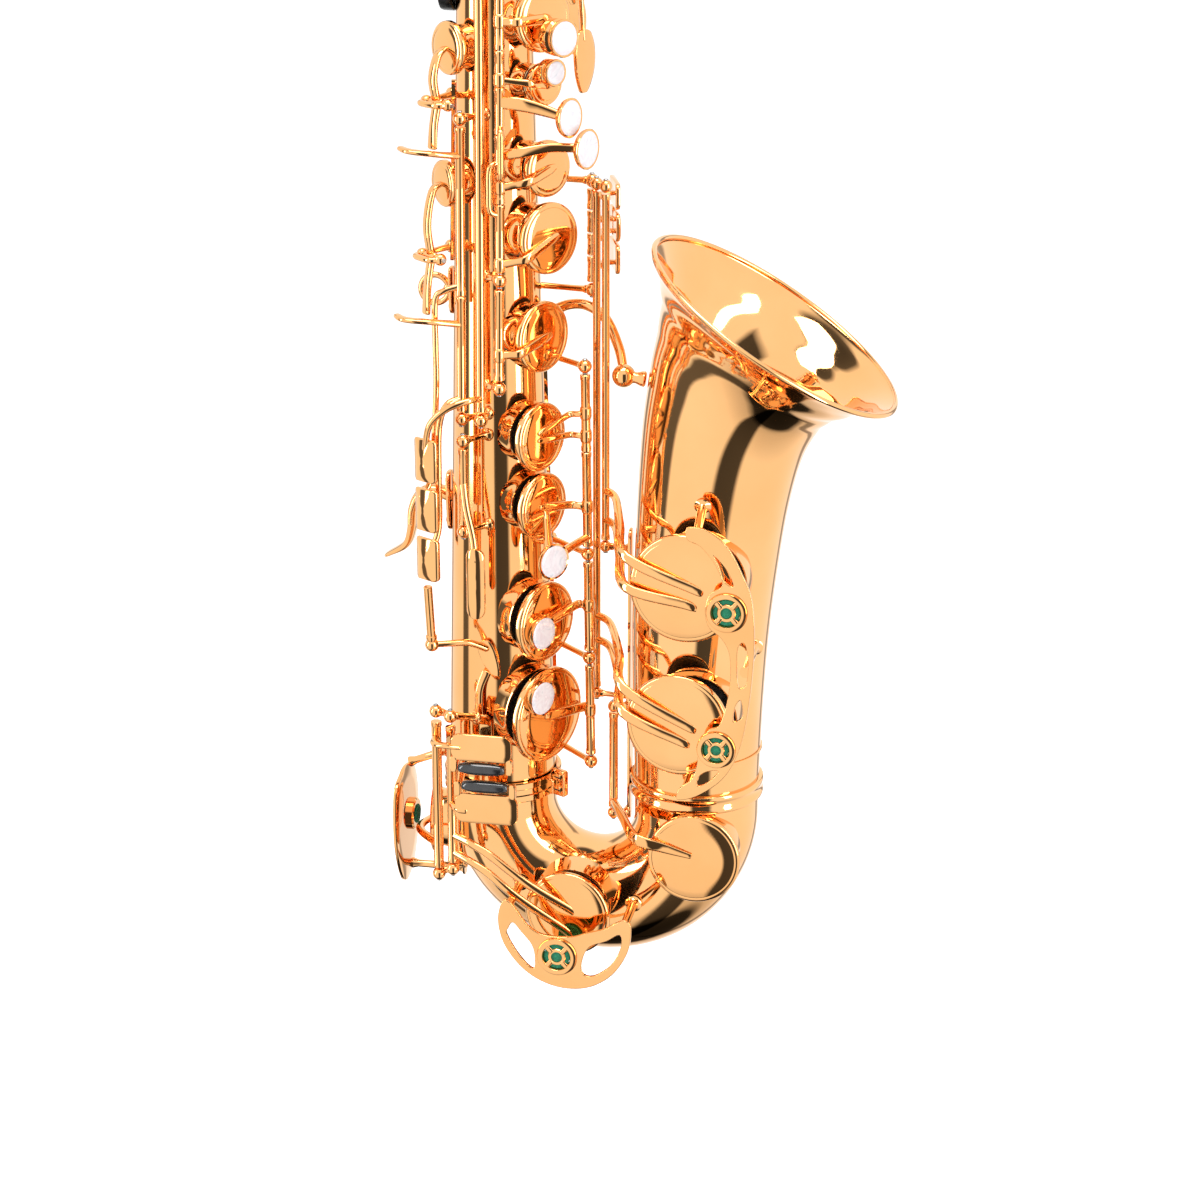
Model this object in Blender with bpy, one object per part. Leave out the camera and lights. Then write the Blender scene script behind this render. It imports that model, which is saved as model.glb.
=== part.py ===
"""Alto saxophone, built piece by piece.

Design space is in millimetres: the body tube stands on X = Y = 0, the bell side is +X,
the player's right-hand side is -Y and the bottom of the bow is at Z = 0.
Everything hangs from one root empty that puts the origin in the middle of the strap ring.
"""

import math

import bmesh
import bpy
from mathutils import Matrix, Vector

MM = 0.001
STRAP = Vector((-26.8, 0.0, 296.0))

# body tube
BODY_Z0, BODY_Z1 = 80.0, 528.0
BODY_R0, BODY_TAPER = 23.5, 0.0242
WALL = 1.4
CHIMNEY_H = 4.5
CHIMNEY_WALL = 1.3

# bow and bell
BOW_R, BOW_Z = 43.25, 68.75
BOW_TUBE = (23.5, 25.2, 27.0)
BELL_X = 86.5
BELL_Z0 = 82.3
BELL_PATH = (
    (86.5, 82.3, 27.1), (86.6, 100, 27.5), (86.8, 125, 28.3), (87.6, 155, 29.4),
    (89.6, 185, 30.6), (92.4, 215, 32.2), (96.3, 240, 34.6), (101.5, 258, 38.0),
    (106.6, 269.5, 42.3), (111.2, 277.6, 48.2), (114.6, 283.3, 54.0), (117.0, 287.2, 60.6),
)
RIM_CENTRE = Vector((117.0, 0.0, 287.2))
RIM_TILT = math.radians(33.0)

# hinge lines, each (bottom point, top point)
UPPER_LINE = (Vector((7.2, -27.0, 300)), Vector((7.9, -22.4, 465)))
GSHARP_LINE = (Vector((6.8, -28.4, 262)), Vector((7.1, -27.2, 304)))
LOWER_LINE = (Vector((41.2, -8.5, 91)), Vector((38.8, -8.5, 268)))
SIDE_LINE = (Vector((-9.6, -27.6, 248)), Vector((-9.0, -24.6, 372)))
HIGH_E_LINE = (Vector((-1.2, -28.4, 248)), Vector((-0.4, -21.8, 498)))
HIGH_FS_LINE = (Vector((-8.0, -33.5, 201)), Vector((-8.0, -32.5, 240)))
BB_LINE = (Vector((45.9, 0.2, 187)), Vector((45.9, 0.2, 342)))
B_LINE = (Vector((41.2, 4.6, 118)), Vector((41.2, 4.6, 342)))
CS_LINE = (Vector((50.5, -5.0, 66)), Vector((50.5, -5.0, 116)))
EB_LINE = (Vector((-21.1, -35.1, 44)), Vector((-21.1, -35.1, 120)))
C_LINE = (Vector((-13.7, -39.7, 49)), Vector((-13.7, -39.7, 120)))
TABLE_LINE = (Vector((38.0, 11.0, 296)), Vector((38.0, 11.0, 342)))
TOUCH_POST = Vector((-22.4, -34.5, 150))

HUB_R = 2.2
ROD_R = 1.0
BORE_R = 1.35
BALL_R = 3.0

Z_AXIS = Vector((0, 0, 1))


# ---------------------------------------------------------------- scene and materials

def clear_scene():
    for obj in list(bpy.data.objects):
        bpy.data.objects.remove(obj, do_unlink=True)
    for group in list(bpy.data.collections):
        bpy.data.collections.remove(group)


def new_collection(name):
    group = bpy.data.collections.new(name)
    bpy.context.scene.collection.children.link(group)
    return group


def material(name, colour, metallic, roughness):
    mat = bpy.data.materials.new(name)
    mat.use_nodes = True
    shader = mat.node_tree.nodes["Principled BSDF"]
    shader.inputs["Base Color"].default_value = (*colour, 1.0)
    shader.inputs["Metallic"].default_value = metallic
    shader.inputs["Roughness"].default_value = roughness
    mat.diffuse_color = (*colour, 1.0)
    return mat


# ---------------------------------------------------------------- simple solids in millimetres

def temp(bm, name="temp"):
    bmesh.ops.recalc_face_normals(bm, faces=bm.faces)
    if bm.calc_volume(signed=True) < 0:
        bmesh.ops.reverse_faces(bm, faces=bm.faces)
    mesh = bpy.data.meshes.new(name)
    bm.to_mesh(mesh)
    bm.free()
    obj = bpy.data.objects.new(name, mesh)
    HELPERS.objects.link(obj)
    obj.hide_render = True
    obj.display_type = "WIRE"
    return obj


def turn_to(axis):
    return axis.normalized().to_track_quat("Z", "Y").to_matrix().to_4x4()


def cone(start, end, r_start, r_end=None, sides=8):
    start, end = Vector(start), Vector(end)
    r_end = r_start if r_end is None else r_end
    bm = bmesh.new()
    place = Matrix.Translation((start + end) / 2) @ turn_to(end - start)
    bmesh.ops.create_cone(
        bm, cap_ends=True, cap_tris=False, segments=sides,
        radius1=r_start, radius2=r_end, depth=(end - start).length, matrix=place,
    )
    return temp(bm)


def ball(centre, radius):
    bm = bmesh.new()
    place = Matrix.Translation(Vector(centre))
    bmesh.ops.create_uvsphere(bm, u_segments=6, v_segments=4, radius=radius, matrix=place)
    return temp(bm)


def box(centre, size, x_dir=(1, 0, 0), z_dir=(0, 0, 1)):
    x_dir = Vector(x_dir).normalized()
    z_dir = Vector(z_dir).normalized()
    y_dir = z_dir.cross(x_dir).normalized()
    x_dir = y_dir.cross(z_dir)
    turn = Matrix((x_dir, y_dir, z_dir)).transposed().to_4x4()
    bm = bmesh.new()
    place = Matrix.Translation(Vector(centre)) @ turn @ Matrix.Diagonal((*size, 1))
    bmesh.ops.create_cube(bm, size=1.0, matrix=place)
    return temp(bm)


def turned(profile, centre, axis, sides=16):
    """Solid of revolution: profile is (radius, height) from the bottom pole to the top pole."""
    bm = bmesh.new()
    verts = [bm.verts.new((r, 0, h)) for r, h in profile]
    edges = [bm.edges.new(pair) for pair in zip(verts, verts[1:])]
    bmesh.ops.spin(
        bm, geom=verts + edges, cent=(0, 0, 0), axis=(0, 0, 1),
        angle=math.tau, steps=sides, use_duplicate=False,
    )
    bmesh.ops.remove_doubles(bm, verts=bm.verts, dist=0.001)
    bm.transform(Matrix.Translation(Vector(centre)) @ turn_to(Vector(axis)))
    return temp(bm)


def slab(outline, thickness, centre, x_dir, normal):
    """Plate: a flat outline in its own (x, y), thickened along its normal."""
    normal = Vector(normal).normalized()
    x_dir = Vector(x_dir)
    x_dir = (x_dir - normal * x_dir.dot(normal)).normalized()
    y_dir = normal.cross(x_dir)
    bm = bmesh.new()
    verts = [bm.verts.new((x, y, -thickness / 2)) for x, y in outline]
    face = bm.faces.new(verts)
    grown = bmesh.ops.extrude_face_region(bm, geom=[face])
    top = [v for v in grown["geom"] if isinstance(v, bmesh.types.BMVert)]
    bmesh.ops.translate(bm, verts=top, vec=(0, 0, thickness))
    turn = Matrix((x_dir, y_dir, normal)).transposed().to_4x4()
    bm.transform(Matrix.Translation(Vector(centre)) @ turn)
    return temp(bm)


def rounded(width, height, corner, steps=2):
    points = []
    for cx, cy, start in ((1, 1, 0), (-1, 1, 90), (-1, -1, 180), (1, -1, 270)):
        for i in range(steps + 1):
            a = math.radians(start + 90 * i / steps)
            x = cx * (width / 2 - corner) + corner * math.cos(a)
            y = cy * (height / 2 - corner) + corner * math.sin(a)
            points.append((x, y))
    return points


def wire(points, radii, resolution=1):
    """Round bar along a path, tapering when radii is a list."""
    points = [Vector(p) for p in points]
    radii = radii if isinstance(radii, (list, tuple)) else [radii] * len(points)
    data = bpy.data.curves.new("path", "CURVE")
    data.dimensions = "3D"
    data.bevel_depth = 1.0
    data.bevel_resolution = resolution
    data.use_fill_caps = True
    spline = data.splines.new("POLY")
    spline.points.add(len(points) - 1)
    for target, point, radius in zip(spline.points, points, radii):
        target.co = (*point, 1)
        target.radius = radius
    holder = bpy.data.objects.new("path", data)
    HELPERS.objects.link(holder)
    bpy.context.view_layer.update()
    graph = bpy.context.evaluated_depsgraph_get()
    mesh = bpy.data.meshes.new_from_object(holder.evaluated_get(graph))
    bm = bmesh.new()
    bm.from_mesh(mesh)
    bmesh.ops.remove_doubles(bm, verts=bm.verts, dist=0.001)
    bpy.data.objects.remove(holder)
    bpy.data.curves.remove(data)
    return temp(bm)


# ---------------------------------------------------------------- joining pieces into one node

def boolean(target, other, operation):
    step = target.modifiers.new(operation.lower(), "BOOLEAN")
    step.operation = operation
    step.solver = "EXACT"
    step.object = other


def node(name, pieces, mat, cuts=(), origin=(0, 0, 0), smooth=True):
    """Union of the pieces less the cuts, with its origin on the joint or mounting point."""
    origin = Vector(origin)
    base = pieces[0]
    for other in pieces[1:]:
        boolean(base, other, "UNION")
    for other in cuts:
        boolean(base, other, "DIFFERENCE")
    bpy.context.view_layer.update()
    graph = bpy.context.evaluated_depsgraph_get()
    mesh = bpy.data.meshes.new_from_object(base.evaluated_get(graph))
    for used in (*pieces, *cuts):
        bpy.data.objects.remove(used, do_unlink=True)
    mesh.transform(Matrix.Scale(MM, 4) @ Matrix.Translation(-origin))
    mesh.name = name
    obj = bpy.data.objects.new(name, mesh)
    obj.location = origin * MM
    obj.parent = ROOT
    PARTS.objects.link(obj)
    mesh.materials.clear()
    mesh.materials.append(mat)
    if smooth:
        mesh.shade_smooth()
        mesh.set_sharp_from_angle(angle=math.radians(35))
    return obj


# ---------------------------------------------------------------- instrument helpers

def body_radius(z):
    return BODY_R0 - BODY_TAPER * (z - BODY_Z0)


def around(theta, radius, z):
    a = math.radians(theta)
    return Vector((radius * math.cos(a), radius * math.sin(a), z))


def on_line(line, z):
    low, high = line
    return low.lerp(high, (z - low.z) / (high.z - low.z))


def swung(point, line, angle):
    """A point turned by an angle in degrees about a hinge line."""
    low, high = line
    turn = Matrix.Rotation(math.radians(angle), 3, (high - low).normalized())
    return low + turn @ (Vector(point) - low)


def swung_dir(direction, line, angle):
    low, high = line
    return Matrix.Rotation(math.radians(angle), 3, (high - low).normalized()) @ Vector(direction)


def hub(line, z0, z1, radius=HUB_R):
    return cone(on_line(line, z0), on_line(line, z1), radius, sides=6)


def bore(line, radius=BORE_R):
    low, high = line
    step = (high - low).normalized() * 8
    return cone(low - step, high + step, radius, sides=6)


def cup(seat, normal, radius, height=4.0):
    """Key cup: the seat point is the middle of its pad face."""
    r = radius
    profile = ((0, 0), (r, 0), (r, height - 1.2), (r - 1.2, height), (0, height))
    return turned(profile, seat, normal, sides=18 if r > 12 else 12)


def touch_pearl(seat, normal, radius, height=3.0):
    r = radius
    profile = ((0, 0), (r - 0.4, 0), (r, height), (0, height))
    return turned(profile, seat, normal, sides=10)


def post(foot, head, leg=1.5, ball_radius=BALL_R):
    foot, head = Vector(foot), Vector(head)
    return [cone(foot, head, leg, leg, 6), ball(head, ball_radius)]


def body_rib(theta, z0, z1, width=5.0, thickness=1.4, gap=0.35):
    low = around(theta, body_radius(z0) + gap + thickness / 2, z0)
    high = around(theta, body_radius(z1) + gap + thickness / 2, z1)
    out = around(theta, 1, 0)
    up = high - low
    return box((low + high) / 2, (thickness, width, up.length), out, up)


def rib_point(theta, z):
    return around(theta, body_radius(z) + 1.65, z)


# name: (angle round the body, height, chimney radius, cup radius)
BODY_HOLES = {
    "key_c": (-27, 447, 7.6, 9.2),
    "key_b": (-27, 411, 11.3, 13.5),
    "key_bis": (-27, 385, 7.0, 8.7),
    "key_a": (-26, 351, 9.6, 11.6),
    "key_g": (-26, 322.5, 12.6, 14.8),
    "key_g_sharp": (-32, 281, 12.6, 15.0),
    "key_f_sharp": (-40, 240, 12.4, 14.6),
    "key_f": (-40, 210, 12.2, 14.3),
    "key_e": (-40, 159, 15.0, 17.3),
    "key_d": (-40, 117, 18.4, 21.0),
    "cup_side_c": (-130, 399, 8.4, 10.8),
    "cup_side_bb": (-137, 344, 7.8, 9.6),
    "key_side_e": (-52, 487, 6.2, 8.0),
    "key_palm_d": (112, 452, 7.2, 9.0),
    "key_palm_eb": (112, 478, 6.8, 8.6),
    "key_palm_f": (112, 505, 6.2, 8.0),
    "key_octave": (128, 492, 2.6, 4.2),
}


def hole_axis(name):
    theta, z, _, _ = BODY_HOLES[name]
    return around(theta, 1, 0), z


def hole_seat(name, gap=0.35):
    """Middle of the pad face when the key is closed."""
    theta, z, _, _ = BODY_HOLES[name]
    return around(theta, body_radius(z) + CHIMNEY_H + gap, z)


def closed_cup(name):
    normal, _ = hole_axis(name)
    return cup(hole_seat(name), normal, BODY_HOLES[name][3])


def open_cup(name, line, angle):
    """Cup of a key that rests open, with its top middle and its normal."""
    normal, _ = hole_axis(name)
    seat = swung(hole_seat(name), line, angle)
    normal = swung_dir(normal, line, angle)
    return cup(seat, normal, BODY_HOLES[name][3]), seat + normal * 4.0, normal


# ---------------------------------------------------------------- tubes

def make_body():
    r0, r1 = body_radius(BODY_Z0), body_radius(BODY_Z1)
    pieces = [cone((0, 0, BODY_Z0), (0, 0, BODY_Z1), r0, r1, 20)]
    cuts = []
    slope = BODY_TAPER * 10
    for name, (theta, z, radius, _) in BODY_HOLES.items():
        out = around(theta, 1, 0)
        top = body_radius(z) + CHIMNEY_H
        sides = 14 if radius > 9 else 8
        pieces.append(cone(around(theta, 4, z), out * top + Z_AXIS * z, radius, sides=sides))
        mouth = radius - CHIMNEY_WALL
        far = out * (top + 5) + Z_AXIS * z
        cuts.append(cone(around(theta, 1, z), far, mouth, sides=sides))
    inner = cone(
        (0, 0, BODY_Z0 - 10), (0, 0, BODY_Z1 + 10),
        r0 - WALL + slope, r1 - WALL - slope, 20,
    )
    node("body_tube", pieces, LACQUER, [inner, *cuts])


def bow_path(extra, shrink):
    points, radii = [], []
    low, mid, high = BOW_TUBE
    for z in (BODY_Z0 - 0.3 + extra,):
        points.append((0, 0, z))
        radii.append(low - shrink)
    steps = 10
    for i in range(steps + 1):
        a = math.radians(180 + 180 * i / steps)
        points.append((BOW_R + BOW_R * math.cos(a), 0, BOW_Z + BOW_R * math.sin(a)))
        t = i / steps
        radius = low + (mid - low) * t * 2 if t < 0.5 else mid + (high - mid) * (t * 2 - 1)
        radii.append(radius - shrink)
    points.append((BELL_X, 0, BELL_Z0 - 0.3 + extra))
    radii.append(high - shrink)
    return points, radii


def big_hole(centre, normal, top, radius, cup_radius):
    """Tone hole of the bow or bell: top is how far the rim stands from the centre."""
    return {
        "centre": Vector(centre), "normal": Vector(normal), "top": top,
        "r": radius, "cup": cup_radius,
    }


LOW_C = big_hole((37, 0, 33), (0, -1, 0), 33.0, 16.4, 19.0)
LOW_CS = big_hole((91, 0, 60.5), (0, -1, 0), 32.0, 16.9, 20.0)
LOW_BB = big_hole((91, 0, 185), (0, -1, 0), 35.0, 20.8, 23.2)
LOW_B = big_hole((89, 0, 124), (0, -1, 0), 33.5, 19.4, 22.2)
LOW_EB = big_hole((2, 0, 57), (-0.99, -0.14, 0), 29.5, 13.0, 15.4)


def chimney(hole, wall=CHIMNEY_WALL):
    normal = hole["normal"].normalized()
    top = hole["centre"] + normal * hole["top"]
    outer = cone(hole["centre"] + normal * 8, top, hole["r"], sides=16)
    inner = cone(hole["centre"] + normal * 5, top + normal * 4, hole["r"] - wall, sides=16)
    return outer, inner


def make_bow():
    outer = wire(*bow_path(0, 0), resolution=6)
    inner = wire(*bow_path(6, WALL), resolution=6)
    holes = [chimney(h) for h in (LOW_C, LOW_CS, LOW_EB)]
    node("bow", [outer, *(h[0] for h in holes)], LACQUER, [inner, *(h[1] for h in holes)])


def make_bell():
    points = [(x, 0, z) for x, z, _ in BELL_PATH]
    radii = [r for _, _, r in BELL_PATH]
    outer = wire(points, radii, resolution=8)
    up = Vector((math.sin(RIM_TILT), 0, math.cos(RIM_TILT)))
    below = (BELL_X, 0, BELL_Z0 - 6)
    above = tuple(RIM_CENTRE + up * 6)
    inner = wire([below, *points, above], [radii[0] - WALL, *(r - WALL for r in radii), 66], 8)
    holes = [chimney(h) for h in (LOW_BB, LOW_B)]
    band = cone((BELL_X, 0, 78), (BELL_X, 0, 86), 28.9, sides=20)
    socket = cone((BELL_X, 0, 70), (BELL_X, 0, BELL_Z0), 27.45, sides=20)
    node(
        "bell", [outer, band, *(h[0] for h in holes)], LACQUER,
        [inner, socket, *(h[1] for h in holes)], origin=RIM_CENTRE,
    )


def make_clamp_ring():
    centre = Vector((0, 0, 79.0))
    band = cone(centre - Z_AXIS * 4.5, centre + Z_AXIS * 4.5, 25.8, sides=20)
    hole = cone(centre - Z_AXIS * 9, centre + Z_AXIS * 9, 24.1, sides=20)
    tab = box((28.4, -14.5, 82.5), (8.0, 2.6, 12.0), (0.86, -0.5, 0))
    lug = box((24.4, -12.6, 80.5), (6.0, 5.0, 7.0), (0.86, -0.5, 0))
    node("bow_clamp_ring", [band, lug, tab], LACQUER, [hole], origin=centre)


def make_neck():
    receiver = cone((0, 0, 528.3), (0, 0, 548), 14.6, sides=24)
    collar = cone((0, 0, 528.3), (0, 0, 532), 15.8, sides=24)
    ear = box((0, 15.5, 540), (9.0, 9.0, 12.0))
    slot = box((0, 16, 541), (1.2, 12, 20))
    hole = cone((0, 0, 520), (0, 0, 560), 12.3, sides=24)
    screw_hole = cone((-9, 17.6, 541), (9, 17.6, 541), 1.7)
    node("neck_receiver", [receiver, collar, ear], LACQUER, [hole, slot, screw_hole], origin=(0, 0, 540))
    shaft = cone((-6.2, 17.6, 541), (7.5, 17.6, 541), 1.3)
    head = cone((7.4, 17.6, 541), (9.6, 17.6, 541), 2.6)
    wing = slab(rounded(11, 8, 3.5), 2.2, (13.2, 17.6, 541), (1, 0, 0), (0, 1, 0))
    node("neck_screw", [shaft, head, wing], LACQUER, origin=(5, 17.6, 541))
    path = (
        (0, 0, 532, 11.7), (0, 0, 548.6, 11.7), (0, 0, 550, 11.5), (-1, 0, 566, 11.2),
        (-7, 0, 583, 10.8), (-19, 0, 596, 10.2), (-36, 0, 603, 9.5), (-58, 0, 604.5, 8.8),
        (-84, 0, 600, 8.0), (-110, 0, 592.5, 7.2), (-146, 0, 580, 6.4),
    )
    points = [p[:3] for p in path]
    tube = wire(points, [p[3] for p in path], resolution=5)
    ends = [(0, 0, 524), *points, (-156, 0, 576.5)]
    inner = wire(ends, [10.5, *(p[3] - 1.2 for p in path), 5.2], resolution=5)
    band = cone((0, 0, 548.6), (0, 0, 553), 13.2, 12.8, 20)
    pip = cone((-40, 0, 606), (-40, 0, 616.5), 2.2)
    saddle = box((-58, 0, 614.0), (7, 5, 3.0), (1, 0, -0.05))
    pillar_a = cone((-58, 0, 604), (-58, 0, 613.5), 2.0)
    node("neck_tube", [tube, band, pip, saddle, pillar_a], LACQUER, [inner], origin=(0, 0, 548))
    a, b = Vector((-104, 0, 594.3)), Vector((-146, 0, 580))
    axis = (b - a).normalized()
    sleeve = cone(a, b, 8.1, 7.5, 20)
    core = cone(a - axis * 4, b + axis * 4, 7.78, 6.66, 20)
    node("neck_cork", [sleeve], CORK, [core], origin=a)
    make_mouthpiece(b - axis * 16, axis)
    make_neck_octave()


def make_mouthpiece(start, axis):
    """Mouthpiece pushed 16 mm over the cork, its beak falling to the tip."""
    profile_in = ((0, -5), (8.3, -5), (8.2, 28), (5.8, 29), (5.6, 60), (0, 60))
    outer = ((0, 0), (12.6, 0), (13.0, 2), (12.9, 9), (12.0, 11), (11.2, 40), (10.4, 89), (0, 89))
    solid = turned(outer, start, axis, 20)
    bore_cut = turned(profile_in, start, axis, 16)
    side = Vector((0, 1, 0))
    up = axis.cross(side).normalized()
    if up.z < 0:
        up = -up
    beak_at = start + axis * 78 + up * 14.2
    slope = (axis * math.cos(math.radians(22)) - up * math.sin(math.radians(22))).normalized()
    beak = box(beak_at, (60, 40, 18), slope, up + axis * math.tan(math.radians(22)))
    table = box(start + axis * 64 - up * 16.0, (60, 40, 17.0), axis, up)
    window = box(start + axis * 66 - up * 4.0, (34, 9.6, 11.0), axis, up)
    node("mouthpiece", [solid], EBONITE, [bore_cut, beak, table, window], origin=start)
    reed_mid = start + axis * 61 - up * 8.7
    blade = slab(rounded(50, 14.6, 3.0), 1.4, reed_mid, axis, up)
    heel = slab(rounded(30, 11.6, 1.0), 2.0, start + axis * 52 - up * 9.6, axis, up)
    node("reed", [blade, heel], CANE, origin=reed_mid)
    mid = start + axis * 46
    band = cone(mid - axis * 10, mid + axis * 10, 14.0, sides=24)
    hollow = cone(mid - axis * 14, mid + axis * 14, 12.6, sides=24)
    screws = []
    for step in (-5, 5):
        at = mid + axis * step - up * 15.5
        screws.append(cone(at - side * 9, at + side * 12, 1.6))
        screws.append(cone(at + side * 11.5, at + side * 15, 3.4, sides=10))
        screws.append(box(at - side * 4 + up * 1.2, (5, 3.5, 6), axis, up))
        screws.append(box(at + side * 5 + up * 1.2, (5, 3.5, 6), axis, up))
    node("ligature", [band, *screws], LACQUER, [hollow], origin=mid)


def make_neck_octave():
    pivot = Vector((-58, 0, 618.6))
    cross = cone(pivot - Vector((0, 5, 0)), pivot + Vector((0, 5, 0)), 2.0)
    arm = wire((pivot, (-50, 0, 621.2), (-41, 0, 621.0)), [1.5, 1.5, 1.5])
    pad = cone((-40, 0, 617.0), (-40, 0, 621.6), 3.8, sides=12)
    half = (
        (-52, 13, 612), (-38, 15, 600), (-20, 16.5, 585), (-8, 17, 570),
        (-7, 16, 560), (-10, 13.5, 555), (-14.5, 8, 553.8),
    )
    path = [pivot + Vector((0, 3.5, 0)), *half, (-16.8, 0, 553.5)]
    path += [(x, -y, z) for x, y, z in reversed(half)]
    path.append(pivot - Vector((0, 3.5, 0)))
    loop = wire(path, 1.5)
    node("neck_octave_key", [cross, arm, pad, loop], LACQUER, origin=pivot)


# ---------------------------------------------------------------- ribs, posts and fixed trim

def make_main_rib():
    theta = -90
    pieces = [body_rib(theta, 196, 503)]
    heads = (
        (on_line(HIGH_FS_LINE, 201), 201), (on_line(HIGH_FS_LINE, 240), 240),
        (on_line(UPPER_LINE, 307), 307), (on_line(UPPER_LINE, 468.5), 466),
        (on_line(GSHARP_LINE, 262), 261), (on_line(SIDE_LINE, 248), 249),
        (on_line(SIDE_LINE, 372), 373), (on_line(HIGH_E_LINE, 248), 249),
        (on_line(HIGH_E_LINE, 498), 498),
    )
    for head, z in heads:
        pieces += post(rib_point(theta, z), head)
    node("main_rib", pieces, LACQUER, [bore(UPPER_LINE)], origin=rib_point(theta, 370))
    rod_low, rod_high = on_line(UPPER_LINE, 305.5), on_line(UPPER_LINE, 470)
    node("upper_stack_rod", [cone(rod_low, rod_high, ROD_R, sides=8)], STEEL, origin=rod_low)


def make_lower_rib():
    theta = 25
    pieces = [body_rib(theta, 88, 272)]
    for z in (268, 186, 139, 91):
        pieces += post(rib_point(theta, z), on_line(LOWER_LINE, z))
    node("lower_stack_rib", pieces, LACQUER, [bore(LOWER_LINE)], origin=rib_point(theta, 180))
    rod_low, rod_high = on_line(LOWER_LINE, 89.5), on_line(LOWER_LINE, 269.5)
    node("lower_stack_rod", [cone(rod_low, rod_high, ROD_R, sides=8)], STEEL, origin=rod_low)


def make_table_rib():
    theta = 50
    pieces = [body_rib(theta, 290, 347)]
    for z in (296, 342):
        pieces += post(rib_point(theta, z), on_line(TABLE_LINE, z))
    for line in (BB_LINE, B_LINE):
        pieces += post(on_line(TABLE_LINE, 342), on_line(line, 342), 1.4, 2.5)
    node("table_rib", pieces, LACQUER, origin=rib_point(theta, 320))


def make_bell_posts():
    strip = box((56.9, 0, 129), (1.2, 8, 134))
    pieces = [strip]
    for head in (
        on_line(BB_LINE, 187), on_line(B_LINE, 118), on_line(CS_LINE, 66), on_line(CS_LINE, 116),
    ):
        foot = Vector((56.9, head.y * 0.5, head.z))
        pieces += post(foot, head, 1.4, 2.6)
    node("bell_key_posts", pieces, LACQUER, origin=(56.9, 0, 129))


def make_low_key_posts():
    """Feet for the low E-flat and low C hinges on one plate, and the post under the side touches."""
    plate = box((-6, -25.2, 106), (14, 1.4, 20))
    pieces = [plate]
    down = wire(((-9, -25.2, 100), (-12, -29.0, 90), (-13, -29.5, 60), (-12, -29.5, 46)), 1.6)
    pieces.append(down)
    pieces += post((-6, -25.2, 114), on_line(EB_LINE, 120))
    pieces += post((-6, -25.2, 114.4), on_line(C_LINE, 120))
    pieces += post((-12.5, -29.5, 48), on_line(EB_LINE, 44))
    pieces += post((-12.2, -29.5, 49), on_line(C_LINE, 49))
    foot = box((0.4, -23.2, 140.5), (7.0, 1.4, 18.0), (19, 0, 7), (-7, 0, 19))
    strip = wire(((-4.5, -25.0, 113), (-4.5, -24.3, 126), (-1.5, -23.5, 135)), 1.2)
    bracket = wire(((-2.5, -23.5, 146), (-8, -28, 149.5), TOUCH_POST), [1.6, 1.4, 1.3])
    rod = cone(TOUCH_POST, (-23.0, -37.2, 177), 1.9)
    pieces += [foot, strip, bracket, ball(TOUCH_POST, 3.0), rod]
    node("low_key_posts", pieces, LACQUER, origin=(-6, -25.2, 98))


def make_palm_rib():
    theta = 68
    pieces = [body_rib(theta, 428, 518)]
    for line in PALM_LINES.values():
        for end in line:
            pieces += post(rib_point(theta, min(max(end.z, 430), 516)), end, 1.4, 2.4)
    node("palm_rib", pieces, LACQUER, origin=rib_point(theta, 470))


def guard_plate(name, outline, y, holes, feet, mat, thickness=1.6):
    """Flat guard facing the player's right, with ring bosses and soldered feet."""
    points = [(x, z) for x, z in outline]
    plate = slab(points, thickness, (0, y, 0), (1, 0, 0), (0, -1, 0))
    pieces, cuts = [plate], []
    for x, z, r_out, r_in in holes:
        if r_out:
            pieces.append(cone((x, y + 2.2, z), (x, y - 1.8, z), r_out, sides=16))
        cuts.append(cone((x, y + 6, z), (x, y - 6, z), r_in, sides=12))
    for foot, head, r in feet:
        pieces.append(cone(foot, head, r, r, 8))
    return node(name, pieces, mat, cuts, origin=(outline[0][0], y, outline[0][1]))


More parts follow.
